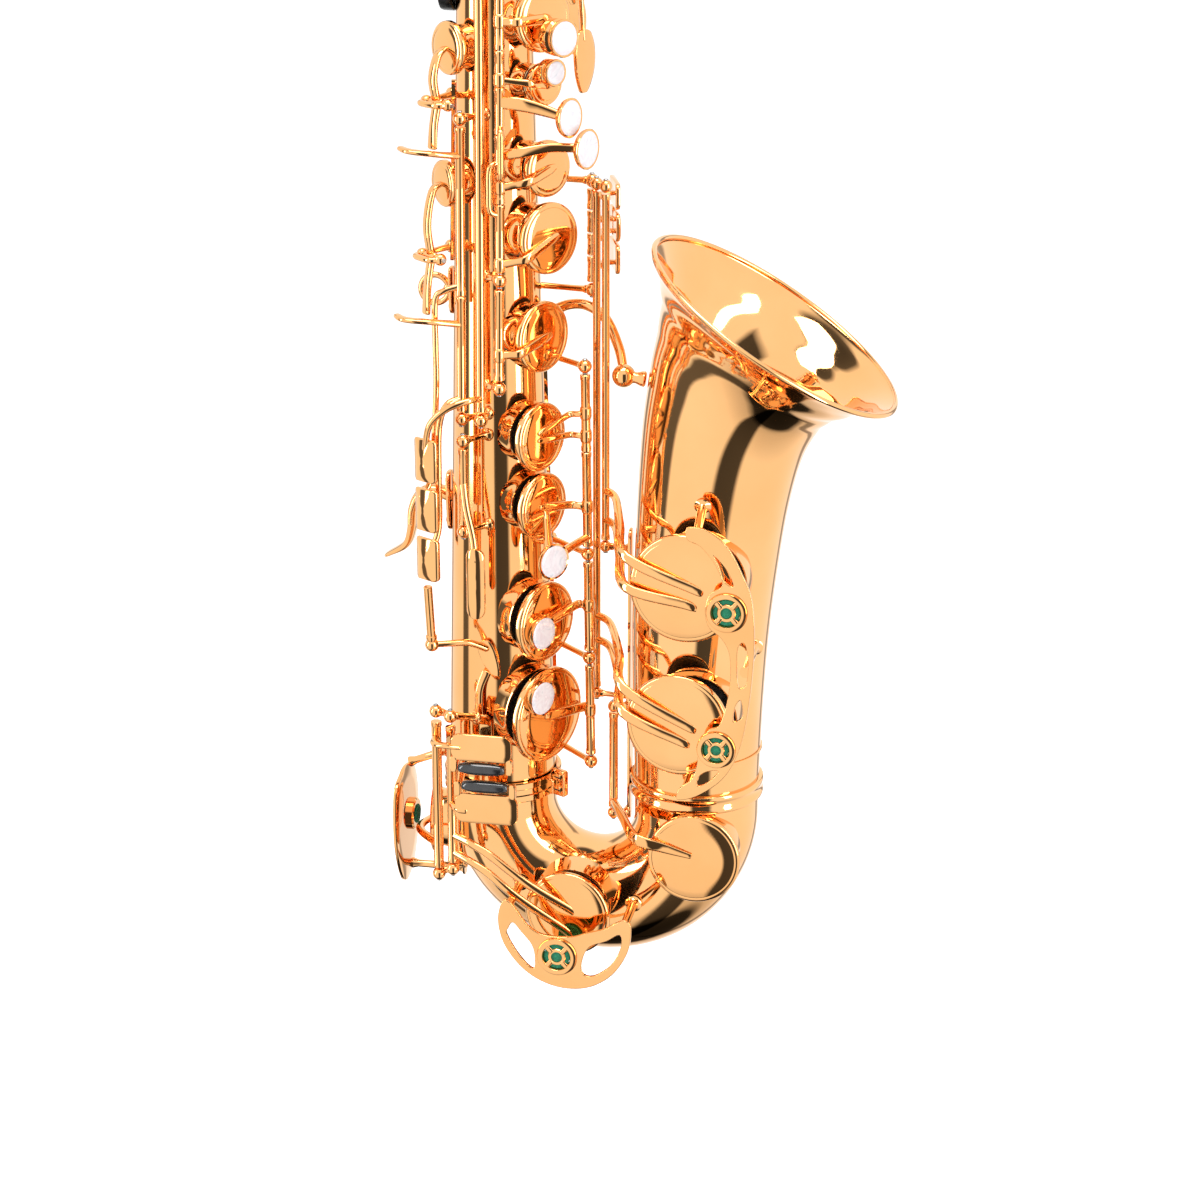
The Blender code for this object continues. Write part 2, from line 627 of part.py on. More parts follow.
def make_guards():
    outline = (
        (90, 214.5), (98, 213.5), (106, 207), (112, 196),
        (117, 182), (117.5, 160), (115.5, 136), (112, 116),
        (105, 104), (95, 97), (86, 94.5), (86.5, 99.5), (93, 105), (96, 113), (104, 128),
        (107.5, 145), (107.5, 160), (104, 168), (98.5, 175), (98.5, 184), (104, 190),
        (101, 199), (95, 207.5), (90, 208.5),
    )
    guard_plate(
        "bell_key_guard", outline, -50.6,
        ((106.0, 179.0, 8.6, 5.6), (102.5, 118.5, 8.2, 5.2)),
        (
            ((92.7, -33.5, 218), (93.2, -50.6, 211.5), 2.0),
            ((113.4, -18.3, 153), (113.9, -50.6, 153), 2.2),
            ((88.5, -28.9, 96.5), (88.5, -50.6, 96.5), 2.2),
        ),
        LACQUER,
    )
    outline = (
        (11.5, 42.5), (9.5, 33), (12, 22), (19, 12), (29, 5.5), (39, 3.2), (50, 5.2),
        (60, 12), (66.5, 24), (67.5, 35), (62, 37.5), (50, 31), (41, 31), (31, 33), (20, 38),
    )
    guard_plate(
        "low_c_guard", outline, -53.5,
        ((35.2, 18.5, 8.8, 5.8), (18.5, 27, 0, 4.2), (55.5, 20, 0, 4.6)),
        (((13, -25.0, 38), (13, -53.5, 38), 2.2), ((63.5, -26.2, 33), (63.5, -53.5, 33), 2.2)),
        LACQUER,
    )
    outline = (
        (-30, 78), (-12, 84), (2, 78), (7, 62), (5, 44),
        (-4, 32), (-16, 30), (-27, 42), (-32, 60),
    )
    plate = slab(
        [(y + 14, z - 57) for y, z in outline], 1.6, (-41.5, -3.5, 57), (0, 1, 0), (1, 0, 0),
    )
    ring = cone((-43.5, -5, 58), (-38.4, -5, 58), 7.2, sides=16)
    hole = cone((-48, -5, 58), (-30, -5, 58), 4.4, sides=12)
    feet = [
        cone((-24.4, -3.5, 89), (-41.5, -3.5, 82), 2.0),
        cone((-16.8, -3.5, 33), (-41.5, -3.5, 33), 2.0),
    ]
    window = [cone((-48, -18, 58), (-36, -18, 58), 3.6, sides=12)]
    node("low_eb_guard", [plate, ring, *feet], LACQUER, [hole, *window], origin=(-41.5, -3.5, 57))


def make_trim():
    plate_x = -(body_radius(296) + 1.2)
    plate = box((plate_x, 0, 296), (1.6, 9, 20), (1, 0, -BODY_TAPER))
    loop = torus(STRAP, Vector((0, 1, 0)), 6.0, 1.35)
    stem = box((plate_x - 0.6, 0, 296), (2.6, 2.4, 5))
    node("strap_ring", [plate, stem, loop], LACQUER, origin=STRAP)
    base = box((-21.8, 0, 204), (1.6, 10, 26), (1, 0, -BODY_TAPER))
    path = (
        (-21.8, 0, 206), (-29, 0, 208), (-35, 0, 205.5), (-38.2, 0, 199),
        (-39, 0, 190), (-41.5, 0, 183), (-48.5, 0, 178.5),
    )
    hook = wire(path, [3.2, 3.4, 3.4, 3.2, 3.0, 2.8, 2.2], resolution=2)
    node("thumb_hook", [base, hook], LACQUER, origin=(-21.8, 0, 204))
    r = body_radius(421)
    disc = cone((-(r + 0.35), 0, 421), (-(r + 6.5), 0, 421), 9.6, 9.2, 20)
    node("thumb_rest", [disc], RESIN, origin=(-(r + 6.5), 0, 421))
    path = (
        (16.4, 12.8, 281), (25, 12.5, 288), (35, 11.2, 289),
        (44, 10, 284), (50, 7, 273), (53, 2, 265),
    )
    brace = wire(path, 2.2)
    foot = body_rib(38, 275, 286.5, 8.0)
    knob = ball((53.6, 0, 262.5), 5.0)
    nose = cone((53, 0, 262.5), (62.9, 0, 261.5), 3.0, 2.4, 10)
    node("bell_brace", [foot, brace, knob, nose], LACQUER, origin=(53.6, 0, 262.5))


def torus(centre, normal, major, minor, steps=18, sides=6):
    bm = bmesh.new()
    circle = bmesh.ops.create_circle(bm, segments=sides, radius=minor)
    bmesh.ops.rotate(bm, verts=circle["verts"], matrix=Matrix.Rotation(math.pi / 2, 3, "X"))
    bmesh.ops.translate(bm, verts=circle["verts"], vec=(major, 0, 0))
    bmesh.ops.spin(
        bm, geom=bm.verts[:] + bm.edges[:], cent=(0, 0, 0), axis=(0, 0, 1),
        angle=math.tau, steps=steps, use_duplicate=False,
    )
    bmesh.ops.remove_doubles(bm, verts=bm.verts, dist=0.001)
    bm.transform(Matrix.Translation(Vector(centre)) @ turn_to(normal))
    return temp(bm)


# ---------------------------------------------------------------- stack keys

OPEN_UPPER = -12.0
OPEN_LOWER = 10.0


def stack_arm(line, z, top, normal, reach, width=4.0):
    """Bar from the hinge tube, over the rim of a cup and along its top to the middle."""
    start = on_line(line, z)
    across = start - top
    across = (across - normal * across.dot(normal)).normalized()
    knee = top + across * (reach + 0.5) + normal * 1.0
    end = top + normal * 0.2
    return wire((start, knee, end), [width * 0.45, width * 0.5, width * 0.4], 1)


def cup_arm(name, line, z, top, normal, width=4.0):
    return stack_arm(line, z, top, normal, BODY_HOLES[name][3], width)


def bridge(line, z0, z1, out):
    """Bar that carries a hinge tube round the neighbour between its two halves."""
    return wire(
        (
            on_line(line, z0) + out, on_line(line, z0 + 2) + out * 4.6,
            on_line(line, z1 - 2) + out * 4.6, on_line(line, z1) + out,
        ),
        1.1,
    )


def make_upper_stack():
    line = UPPER_LINE
    body, top, n = open_cup("key_c", line, OPEN_UPPER)
    pieces = [body, hub(line, 433, 464.5), cup_arm("key_c", line, 446, top, n)]
    node("key_c", pieces, LACQUER, [bore(line)], origin=on_line(line, 449))

    body, top, n = open_cup("key_b", line, OPEN_UPPER)
    pearl_at = Vector((31.5, -22.0, 405.0))
    pieces = [body, hub(line, 400, 432.5), cup_arm("key_b", line, 411, top, n)]
    pieces.append(wire((top + n * 0.5, pearl_at), [2.2, 3.2]))
    pieces.append(touch_pearl(pearl_at, around(-36, 1, 0), 7.6))
    node("key_b", pieces, LACQUER, [bore(line)], origin=on_line(line, 416))

    body, top, n = open_cup("key_bis", line, OPEN_UPPER)
    pearl_at = Vector((27.6, -20.2, 391.0))
    pieces = [body, hub(line, 385.5, 399.5), cup_arm("key_bis", line, 388, top, n, 3.4)]
    pieces.append(wire((top + n * 0.5, pearl_at), [1.8, 2.3]))
    pieces.append(touch_pearl(pearl_at, around(-36, 1, 0), 5.4))
    node("key_bis", pieces, LACQUER, [bore(line)], origin=on_line(line, 392))

    body, top, n = open_cup("key_a", line, OPEN_UPPER)
    pearl_at = Vector((34.0, -24.5, 374.0))
    pieces = [body, hub(line, 338.5, 350.5), hub(line, 366.5, 385)]
    pieces.append(cup_arm("key_a", line, 345, top, n))
    pieces.append(bridge(line, 348, 369, around(-72, 1, 0)))
    pieces.append(wire((on_line(line, 379), (22, -24.8, 378), pearl_at), [1.8, 2.4, 2.0]))
    pieces.append(touch_pearl(pearl_at, around(-24, 1, 0), 8.0))
    node("key_a", pieces, LACQUER, [bore(line)], origin=on_line(line, 360))

    body, top, n = open_cup("key_g", line, OPEN_UPPER)
    pearl_at = Vector((40.2, -20.5, 361.0))
    pieces = [body, hub(line, 310.8, 338), hub(line, 351, 366)]
    pieces.append(cup_arm("key_g", line, 313.5, top, n))
    pieces.append(bridge(line, 334, 355, around(-140, 1, 0)))
    path = (on_line(line, 358), (24, -25.0, 361), (37, -23, 361), pearl_at)
    pieces.append(wire(path, [1.8, 1.7, 1.7, 2.0]))
    pieces.append(touch_pearl(pearl_at, around(-22, 1, 0), 8.2))
    node("key_g", pieces, LACQUER, [bore(line)], origin=on_line(line, 340))

    line = GSHARP_LINE
    n, _ = hole_axis("key_g_sharp")
    top = hole_seat("key_g_sharp") + n * 4
    pieces = [closed_cup("key_g_sharp"), hub(line, 265.6, 303.2)]
    pieces.append(cup_arm("key_g_sharp", line, 276, top, n))
    node("key_g_sharp", pieces, LACQUER, origin=on_line(line, 284))


def make_lower_stack():
    line = LOWER_LINE
    body, top, n = open_cup("key_f_sharp", line, OPEN_LOWER)
    pieces = [body, hub(line, 231.5, 264.5)]
    pieces.append(cup_arm("key_f_sharp", line, 248, top + Z_AXIS * 3, n, 3.4))
    pieces.append(cup_arm("key_f_sharp", line, 238, top - Z_AXIS * 1, n, 3.4))
    node("key_f_sharp", pieces, LACQUER, [bore(line)], origin=on_line(line, 248))

    body, top, n = open_cup("key_f", line, OPEN_LOWER)
    pearl_at = Vector((28.6, -32.6, 190.5))
    pearl_n = around(-40, 1, 0)
    pieces = [body, hub(line, 189.6, 231), cup_arm("key_f", line, 207, top, n, 3.8)]
    path = (on_line(line, 193.5), (34, -21, 192), pearl_at + pearl_n * 0.8)
    pieces.append(wire(path, [1.7, 1.7, 2.4]))
    path = (pearl_at - pearl_n * 0.6, top - Z_AXIS * 6 + n * 0.5, top - n * 1)
    pieces.append(wire(path, [2.4, 1.8, 1.8]))
    pieces.append(touch_pearl(pearl_at, pearl_n, 7.8))
    node("key_f", pieces, LACQUER, [bore(line)], origin=on_line(line, 210))

    body, top, n = open_cup("key_e", line, OPEN_LOWER)
    pearl_at = top + around(-120, 6.5, -2.5)
    pieces = [body, hub(line, 142.6, 182.4), cup_arm("key_e", line, 163, top, n, 4.2)]
    pieces.append(touch_pearl(pearl_at - n * 0.6, n, 7.8, 4.4))
    node("key_e", pieces, LACQUER, [bore(line)], origin=on_line(line, 162))

    body, top, n = open_cup("key_d", line, OPEN_LOWER)
    pearl_at = top + around(-120, 8.5, 11.0)
    pieces = [body, hub(line, 94.6, 135.4), cup_arm("key_d", line, 115, top, n, 4.6)]
    pieces.append(touch_pearl(pearl_at - n * 0.6, n, 8.0, 4.4))
    node("key_d", pieces, LACQUER, [bore(line)], origin=on_line(line, 115))


# ---------------------------------------------------------------- side keys

SIDE_N = around(-121, 1, 0)
SIDE_X = around(-31, 1, 0)
SIDE_PLATE = {"e": 232.5, "c": 211.0, "bb": 189.5}


def side_plate(which):
    at = around(-121, 45.0, SIDE_PLATE[which])
    return slab(rounded(12.4, 18.6, 1.6), 1.8, at, SIDE_X, SIDE_N)


def side_spot(which, across, up, depth=0.0):
    at = around(-121, 45.0 - depth, SIDE_PLATE[which])
    return at + SIDE_X * across + Z_AXIS * up


ROCKERS = {
    "cup_side_c": (378.0, -126.0, 360.5),
    "cup_side_bb": (315.0, -133.0, 292.0),
}


def rocker_axis(name):
    z, theta, _ = ROCKERS[name]
    out = around(theta, 1, 0)
    across = Z_AXIS.cross(out)
    centre = around(theta, body_radius(z) + 14.5, z)
    return centre, out, across


def make_rockers():
    """Side C and side B-flat cups on short levers that pivot across the tube."""
    for name, (z, theta, tail_z) in ROCKERS.items():
        centre, out, across = rocker_axis(name)
        hole_theta, hole_z, _, _ = BODY_HOLES[name]
        normal = around(hole_theta, 1, 0)
        top = hole_seat(name) + normal * 4
        pivot = cone(centre - across * 3.6, centre + across * 3.6, 2.0)
        upper = wire((centre, top + out * 6.0 - Z_AXIS * 6, top + out * 1.0), [2.0, 2.0, 2.4])
        tail = wire((centre, around(theta, body_radius(tail_z) + 17.0, tail_z)), [2.0, 1.6])
        node(name, [closed_cup(name), pivot, upper, tail], LACQUER, origin=centre)


def make_side_posts():
    """Ball posts either side of the two rocker pivots, on a rib along the back."""
    theta = -172
    pieces = [body_rib(theta, 309, 384)]
    for name, (z, _, _) in ROCKERS.items():
        centre, out, across = rocker_axis(name)
        back, front = centre - across * 6.6, centre + across * 6.6
        foot = rib_point(theta, z)
        pieces += post(foot, back, 1.5, 2.6)
        arch = (back, back + out * 4.5 + across * 1.5, front + out * 4.5 - across * 1.5, front)
        pieces.append(wire(arch, 1.3))
        pieces.append(ball(front, 2.6))
    node("side_rib", pieces, LACQUER, origin=rib_point(theta, 345))


def make_side_keys():
    line = SIDE_LINE
    path = (
        on_line(line, 257), (-14.5, -32.0, 255), (-17.6, -34.0, 246),
        (-18.2, -34.6, 205), (-19.6, -36.2, 197), side_spot("bb", 1.5, 6.5),
    )
    pieces = [hub(line, 251.6, 299.6), side_plate("bb"), wire(path, 1.4)]
    path = (on_line(line, 288), (-20, -35, 290.5), (-30.0, -37.0, 291.5), (-34.6, -33.0, 292))
    pieces.append(wire(path, [1.4, 1.4, 1.4, 1.2]))
    node("key_side_bb", pieces, LACQUER, origin=on_line(line, 275))

    path = (
        on_line(line, 304), (-16.0, -28.6, 302), (-19.5, -28.8, 298), (-19.6, -29.2, 262),
        (-20.8, -31.0, 236), (-22.0, -33.5, 222), side_spot("c", -2.0, 6.5),
    )
    pieces = [hub(line, 300.2, 368.6), side_plate("c"), wire(path, 1.3)]
    path = (on_line(line, 357), (-19, -33, 359), (-27.5, -34.5, 360), (-32.0, -31.0, 360.5))
    pieces.append(wire(path, [1.4, 1.4, 1.4, 1.2]))
    node("key_side_c", pieces, LACQUER, origin=on_line(line, 334))

    line = HIGH_E_LINE
    normal, _ = hole_axis("key_side_e")
    top = hole_seat("key_side_e") + normal * 4
    path = (
        on_line(line, 257), (-3, -37.6, 259), (-12, -41.4, 256), (-19.5, -41.8, 249),
        side_spot("e", 1.0, 6.5),
    )
    pieces = [closed_cup("key_side_e"), hub(line, 251.8, 494.4), side_plate("e")]
    pieces += [wire(path, 1.4), cup_arm("key_side_e", line, 487, top, normal, 3.4)]
    node("key_side_e", pieces, LACQUER, origin=on_line(line, 372))

    line = HIGH_FS_LINE
    at = Vector((-1.4, -42.0, 181))
    plate = slab(rounded(8.0, 31.0, 3.9, 3), 1.8, at, (1, 0, 0), (0, -1, 0))
    path = (on_line(line, 222), (-6, -36.5, 212), (-2.6, -39.5, 200), at + Vector((0, 0.5, 10)))
    arm = wire(path, [1.8, 1.6, 1.6, 1.6])
    node("key_high_f_sharp", [hub(line, 204.2, 236.6), plate, arm], LACQUER, origin=on_line(line, 222))


# ---------------------------------------------------------------- palm keys and octave

PALM_LINES = {
    "key_palm_d": (Vector((0.8, 26.0, 426)), Vector((0.8, 25.6, 462))),
    "key_palm_eb": (Vector((7.0, 25.0, 426)), Vector((7.0, 24.2, 488))),
    "key_palm_f": (Vector((12.8, 22.2, 426)), Vector((12.6, 21.0, 514))),
}
PALM_TOUCH = {
    "key_palm_d": Vector((15.0, 38.0, 416)),
    "key_palm_eb": Vector((27.0, 28.5, 404)),
    "key_palm_f": Vector((34.0, 13.0, 391)),
}
PALM_TURN = {"key_palm_d": 0.0, "key_palm_eb": 0.0, "key_palm_f": -43.0}
OCTAVE_LINE = (Vector((-22.0, 14.5, 436)), Vector((-21.4, 13.8, 500)))


def make_palm_keys():
    outline = ((-5, 11), (-7, 4), (-5.5, -7), (-1.5, -13), (1.5, -13), (5.5, -7), (7, 4), (5, 11))
    for name, line in PALM_LINES.items():
        normal, z = hole_axis(name)
        top = hole_seat(name) + normal * 4
        touch = PALM_TOUCH[name]
        face = Vector((touch.x, touch.y, 0)).normalized()
        turned_face = Matrix.Rotation(math.radians(PALM_TURN[name]), 3, "Z") @ face
        leaf = slab(outline, 2.0, touch, Z_AXIS.cross(turned_face), turned_face)
        low = line[0].z + 3.4
        start = on_line(line, low + 2)
        bend = start.lerp(touch, 0.6) + face * 4
        bend.z = low - 1
        pieces = [closed_cup(name), hub(line, low, line[1].z - 3.2, 1.9)]
        pieces.append(cup_arm(name, line, z, top, normal, 3.2))
        pieces += [leaf, wire((start, bend, touch + Z_AXIS * 8), [1.7, 1.8, 1.8])]
        node(name, pieces, LACQUER, origin=on_line(line, low + 5))


def make_octave():
    line = OCTAVE_LINE
    theta = 150
    pieces = [body_rib(theta, 433, 503, 5.0)]
    for end in line:
        pieces += post(rib_point(theta, end.z), end, 1.3, 2.4)
    node("octave_rib", pieces, LACQUER, origin=rib_point(theta, 468))
    normal, z = hole_axis("key_octave")
    seat = hole_seat("key_octave")
    pieces = [cone(seat, seat + normal * 3.4, 4.2, sides=12), hub(line, 439.2, 496.8, 1.9)]
    pieces.append(stack_arm(line, 492, seat + normal * 3.2, normal, 4.2, 2.8))
    pieces.append(slab(rounded(12, 17, 4), 2.0, (-26.0, 1.5, 446), (0, 1, 0), (-1, 0.12, 0)))
    path = (on_line(line, 449), (-25.0, 10.0, 448), (-26.0, 6.0, 447), (-26.0, 3.0, 446))
    pieces.append(wire(path, 1.6))
    node("key_octave", pieces, LACQUER, origin=on_line(line, 468))


# ---------------------------------------------------------------- low keys

OPEN_LOW_C = -6.5
OPEN_BELL = -6.0


def low_cup(hole, line=None, angle=0.0):
    normal = hole["normal"].normalized()
    seat = hole["centre"] + normal * (hole["top"] + 0.35)
    if line is not None:
        seat = swung(seat, line, angle)
        normal = swung_dir(normal, line, angle)
    return cup(seat, normal, hole["cup"]), seat + normal * 4.0, normal


def pinky_plate(width, height, centre, ear_xs, ear_z):
    """Little-finger plate with two ears that hold the ends of its roller."""
    pieces = [slab(rounded(width, height, 4), 1.8, centre, (1, 0, 0), (0, -1, 0))]
    for x in ear_xs:
        pieces.append(slab(rounded(3.0, 7.2, 1), 2.6, (x, -46.2, ear_z), (1, 0, 0), (0, -1, 0)))
    return pieces


def make_low_keys():
    line = EB_LINE
    body, top, n = low_cup(LOW_EB)
    pieces = [body, hub(line, 47.4, 115.4, 2.4)]
    pieces += pinky_plate(26.5, 12.2, (1.3, -46.5, 109.2), (-10.8, 13.4), 101.3)
    path = (on_line(line, 108), (-19.4, -43.2, 108.5), (-13.5, -46.0, 109), (-8, -46.8, 109))
    pieces.append(wire(path, 1.8))
    pieces.append(wire((on_line(line, 58), (-31.5, -23, 57.5), (-34.0, -14, 57), top - n * 0.6), 1.9))
    node("key_low_eb", pieces, LACQUER, origin=on_line(line, 82))

    line = C_LINE
    body, top, n = low_cup(LOW_C, line, OPEN_LOW_C)
    pieces = [body, hub(line, 52.4, 115.4)]
    pieces += pinky_plate(27.5, 13.6, (3.2, -46.5, 81.4), (-9.4, 14.6), 90.0)
    pieces.append(wire((on_line(line, 80), (-10, -45.5, 80), (-6, -46.4, 80)), 1.7))
    path = (on_line(line, 65), (2, -46.8, 61.5), (20, -47.8, 49), top + Vector((3, 0, 2)))
    pieces.append(wire(path, 1.4))
    path = (on_line(line, 57), (2, -46.8, 52.5), (16, -47.8, 42), top + Vector((0, 0, -8)))
    pieces.append(wire(path, 1.4))
    node("key_low_c", pieces, LACQUER, origin=on_line(line, 82))
    for name, x0, x1, z in (("roller_low_eb", -8.8, 11.4, 99.7), ("roller_low_c", -7.4, 12.6, 91.6)):
        long = x1 - x0
        profile = (
            (0, 0), (1.8, 0), (2.6, 4), (2.8, long / 2), (2.6, long - 4), (1.8, long), (0, long),
        )
        roller = turned(profile, (x0, -46.6, z), (1, 0, 0), 12)
        node(name, [roller], EBONITE, origin=((x0 + x1) / 2, -46.6, z))

    line = CS_LINE
    body, top, n = low_cup(LOW_CS)
    path = (on_line(line, 71), (57, -19, 70.5), (66, -36.5, 68.5), (90, -37.2, 62.5))
    pieces = [body, hub(line, 69.0, 113.0), wire(path, [1.9, 1.9, 1.8, 1.2])]
    node("key_low_c_sharp", pieces, LACQUER, origin=on_line(line, 90))


def bell_key_arm(line, z, turn_at, top, normal, reach, end):
    """Long arm of a bell key: out past the rods, over the rim of the cup and along its top."""
    start = on_line(line, z)
    across = Vector((-1, 0, 0)) + normal * normal.x
    edge = top + across.normalized() * (reach + 0.6) + normal * 1.2
    edge.z = z - 15.0
    path = (start, start + turn_at, Vector((56.5, -24.0, z - 7.0)), edge, end + normal * 0.3)
    return wire(path, 1.4)


def make_bell_keys():
    """Low B-flat and low B: open cups on the bell, each on a long hinge rod."""
    for name, hole, line, heights, z0, turn_at in (
        ("key_low_bb", LOW_BB, BB_LINE, (212, 199), 190.0, Vector((5.5, -6.0, -1.5))),
        ("key_low_b", LOW_B, B_LINE, (154, 143), 121.0, Vector((7.4, -6.6, -1.5))),
    ):
        body, top, n = low_cup(hole, line, OPEN_BELL)
        pieces = [body, hub(line, z0, 338.8, 1.9)]
        for i, z in enumerate(heights):
            end = top + Vector((4 - 3 * i, 0, 1 - 7 * i))
            pieces.append(bell_key_arm(line, z, turn_at, top, n, hole["cup"], end))
        node(name, pieces, LACQUER, origin=on_line(line, 250))


TABLE_FACE = Vector((0.95, 0.3, 0)).normalized()
TABLE_ACROSS = Vector((-0.3, 0.95, 0)).normalized()


def table_spot(forward, across, z):
    """Point of the left little-finger table, measured from its hinge."""
    return on_line(TABLE_LINE, z) + TABLE_FACE * forward + TABLE_ACROSS * across


def make_table():
    """G-sharp across the top, C-sharp and B side by side, B-flat across the bottom."""
    rows = (
        ("touch_g_sharp", 334.2, 11.0, 24.4, 13.2, (330.2, 338.6), 334.4),
        ("touch_c_sharp", 321.2, 12.0, 10.8, 6.4, (320.6, 329.4), 324.6),
        ("touch_b", 321.2, 12.0, 10.8, 20.0, (311.0, 319.8), 317.0),
        ("touch_bb", 307.6, 12.4, 24.4, 13.2, (299.6, 310.2), 305.0),
    )
    for name, z, height, width, across, (h0, h1), arm_z in rows:
        centre = table_spot(11.0, across, z)
        plate = slab(rounded(width, height, 2.4), 2.0, centre, TABLE_ACROSS, TABLE_FACE)
        bend = table_spot(4.6, 6.0, arm_z)
        knuckle = table_spot(5.0, across - 5.0 if across > 15 else 9.0, arm_z)
        end = table_spot(10.6, across - 2.0, arm_z)
        if name == "touch_c_sharp":
            knuckle = table_spot(7.4, 6.6, arm_z)
        arm = wire((on_line(TABLE_LINE, arm_z), bend, knuckle, end), 1.5)
        node(name, [hub(TABLE_LINE, h0, h1), plate, arm], LACQUER, origin=on_line(TABLE_LINE, z))


# ---------------------------------------------------------------- build

clear_scene()
PARTS = new_collection("saxophone")
HELPERS = new_collection("cutters")
HELPERS.hide_render = True
ROOT = bpy.data.objects.new("saxophone_root", None)
PARTS.objects.link(ROOT)
ROOT.location = -STRAP * MM

LACQUER = material("gold_lacquer", (0.86, 0.55, 0.26), 1.0, 0.16)
STEEL = material("blued_steel", (0.42, 0.42, 0.45), 1.0, 0.3)
EBONITE = material("black_ebonite", (0.012, 0.012, 0.013), 0.0, 0.2)
RESIN = material("black_resin", (0.02, 0.02, 0.02), 0.0, 0.35)
CORK = material("cork", (0.55, 0.36, 0.2), 0.0, 0.85)
CANE = material("cane", (0.78, 0.62, 0.36), 0.0, 0.6)

make_body()
make_bow()
make_bell()
make_clamp_ring()
make_neck()
make_main_rib()
make_lower_rib()
make_table_rib()
make_bell_posts()
make_low_key_posts()
make_palm_rib()
make_guards()
make_trim()
make_upper_stack()
make_lower_stack()
make_rockers()
make_side_posts()
make_side_keys()
make_palm_keys()
make_octave()
make_low_keys()
make_bell_keys()
make_table()
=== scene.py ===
"""Looks of the alto saxophone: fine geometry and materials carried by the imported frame.

Shapes are written in design millimetres: body tube on X = Y = 0, bell side +X,
player's right-hand side -Y, bottom of the bow at Z = 0. make() moves them into the row frame.
"""

import math

import bpy
from mathutils import Matrix, Vector


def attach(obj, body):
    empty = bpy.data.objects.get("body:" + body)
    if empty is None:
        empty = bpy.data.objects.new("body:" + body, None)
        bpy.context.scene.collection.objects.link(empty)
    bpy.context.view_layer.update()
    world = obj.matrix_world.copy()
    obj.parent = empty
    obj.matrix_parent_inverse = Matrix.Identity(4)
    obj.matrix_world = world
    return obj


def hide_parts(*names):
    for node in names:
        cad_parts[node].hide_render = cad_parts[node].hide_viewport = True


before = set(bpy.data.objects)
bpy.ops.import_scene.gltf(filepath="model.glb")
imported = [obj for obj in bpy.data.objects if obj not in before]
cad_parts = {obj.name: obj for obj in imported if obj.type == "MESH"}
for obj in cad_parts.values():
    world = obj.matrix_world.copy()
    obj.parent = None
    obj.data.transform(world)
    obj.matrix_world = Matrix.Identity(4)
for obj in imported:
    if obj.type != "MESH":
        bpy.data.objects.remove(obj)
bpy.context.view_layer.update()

MM = 0.001
STRAP = Vector((-26.8, 0.0, 296.0))
UP = Vector((0, 0, 1))
FINE = 1.0

# stage and camera, in metres
FLOOR_SIZE, FLOOR_Z = 14.0, -0.52
CAMERA_AT = Vector((0.2917, -1.1390, 0.2774))
CAMERA_AIM = Vector((0.0703, 0.0, -0.1335))
CAMERA_LENS = 85.95
SKY_STRENGTH = 1.16

# ---------------------------------------------------------------- measurements

BODY_Z0, BODY_Z1 = 80.0, 528.0
BODY_R0, BODY_TAPER = 23.5, 0.0242
CHIMNEY_H = 4.5
PAD_GAP = 0.35
BOW_R, BOW_Z = 43.25, 68.75
BOW_TUBE = (23.5, 25.2, 27.0)
BELL_X, BELL_Z0 = 86.5, 82.3
BELL_PATH = (
    (86.5, 82.3, 27.1), (86.6, 100, 27.5), (86.8, 125, 28.3), (87.6, 155, 29.4),
    (89.6, 185, 30.6), (92.4, 215, 32.2), (96.3, 240, 34.6), (101.5, 258, 38.0),
    (106.6, 269.5, 42.3), (111.2, 277.6, 48.2), (114.6, 283.3, 54.0), (117.0, 287.2, 60.6),
)
RIM_CENTRE = Vector((117.0, 0.0, 287.2))
RIM_TILT = math.radians(33.0)


def line(x0, y0, z0, x1, y1, z1):
    return Vector((x0, y0, z0)), Vector((x1, y1, z1))


UPPER_LINE = line(7.2, -27.0, 300, 7.9, -22.4, 465)
GSHARP_LINE = line(6.8, -28.4, 262, 7.1, -27.2, 304)
LOWER_LINE = line(41.2, -8.5, 91, 38.8, -8.5, 268)
SIDE_LINE = line(-9.6, -27.6, 248, -9.0, -24.6, 372)
HIGH_E_LINE = line(-1.2, -28.4, 248, -0.4, -21.8, 498)
HIGH_FS_LINE = line(-8.0, -33.5, 201, -8.0, -32.5, 240)
BB_LINE = line(45.9, 0.2, 187, 45.9, 0.2, 342)
B_LINE = line(41.2, 4.6, 118, 41.2, 4.6, 342)
CS_LINE = line(50.5, -5.0, 66, 50.5, -5.0, 116)
EB_LINE = line(-21.1, -35.1, 44, -21.1, -35.1, 120)
C_LINE = line(-13.7, -39.7, 49, -13.7, -39.7, 120)
TABLE_LINE = line(38.0, 11.0, 296, 38.0, 11.0, 342)
TOUCH_POST = Vector((-22.4, -34.5, 150))
OCTAVE_LINE = line(-22.0, 14.5, 436, -21.4, 13.8, 500)
PALM_LINES = {
    "key_palm_d": line(0.8, 26.0, 426, 0.8, 25.6, 462),
    "key_palm_eb": line(7.0, 25.0, 426, 7.0, 24.2, 488),
    "key_palm_f": line(12.8, 22.2, 426, 12.6, 21.0, 514),
}
PALM_TOUCH = {
    "key_palm_d": Vector((15.0, 38.0, 416)),
    "key_palm_eb": Vector((27.0, 28.5, 404)),
    "key_palm_f": Vector((34.0, 13.0, 391)),
}

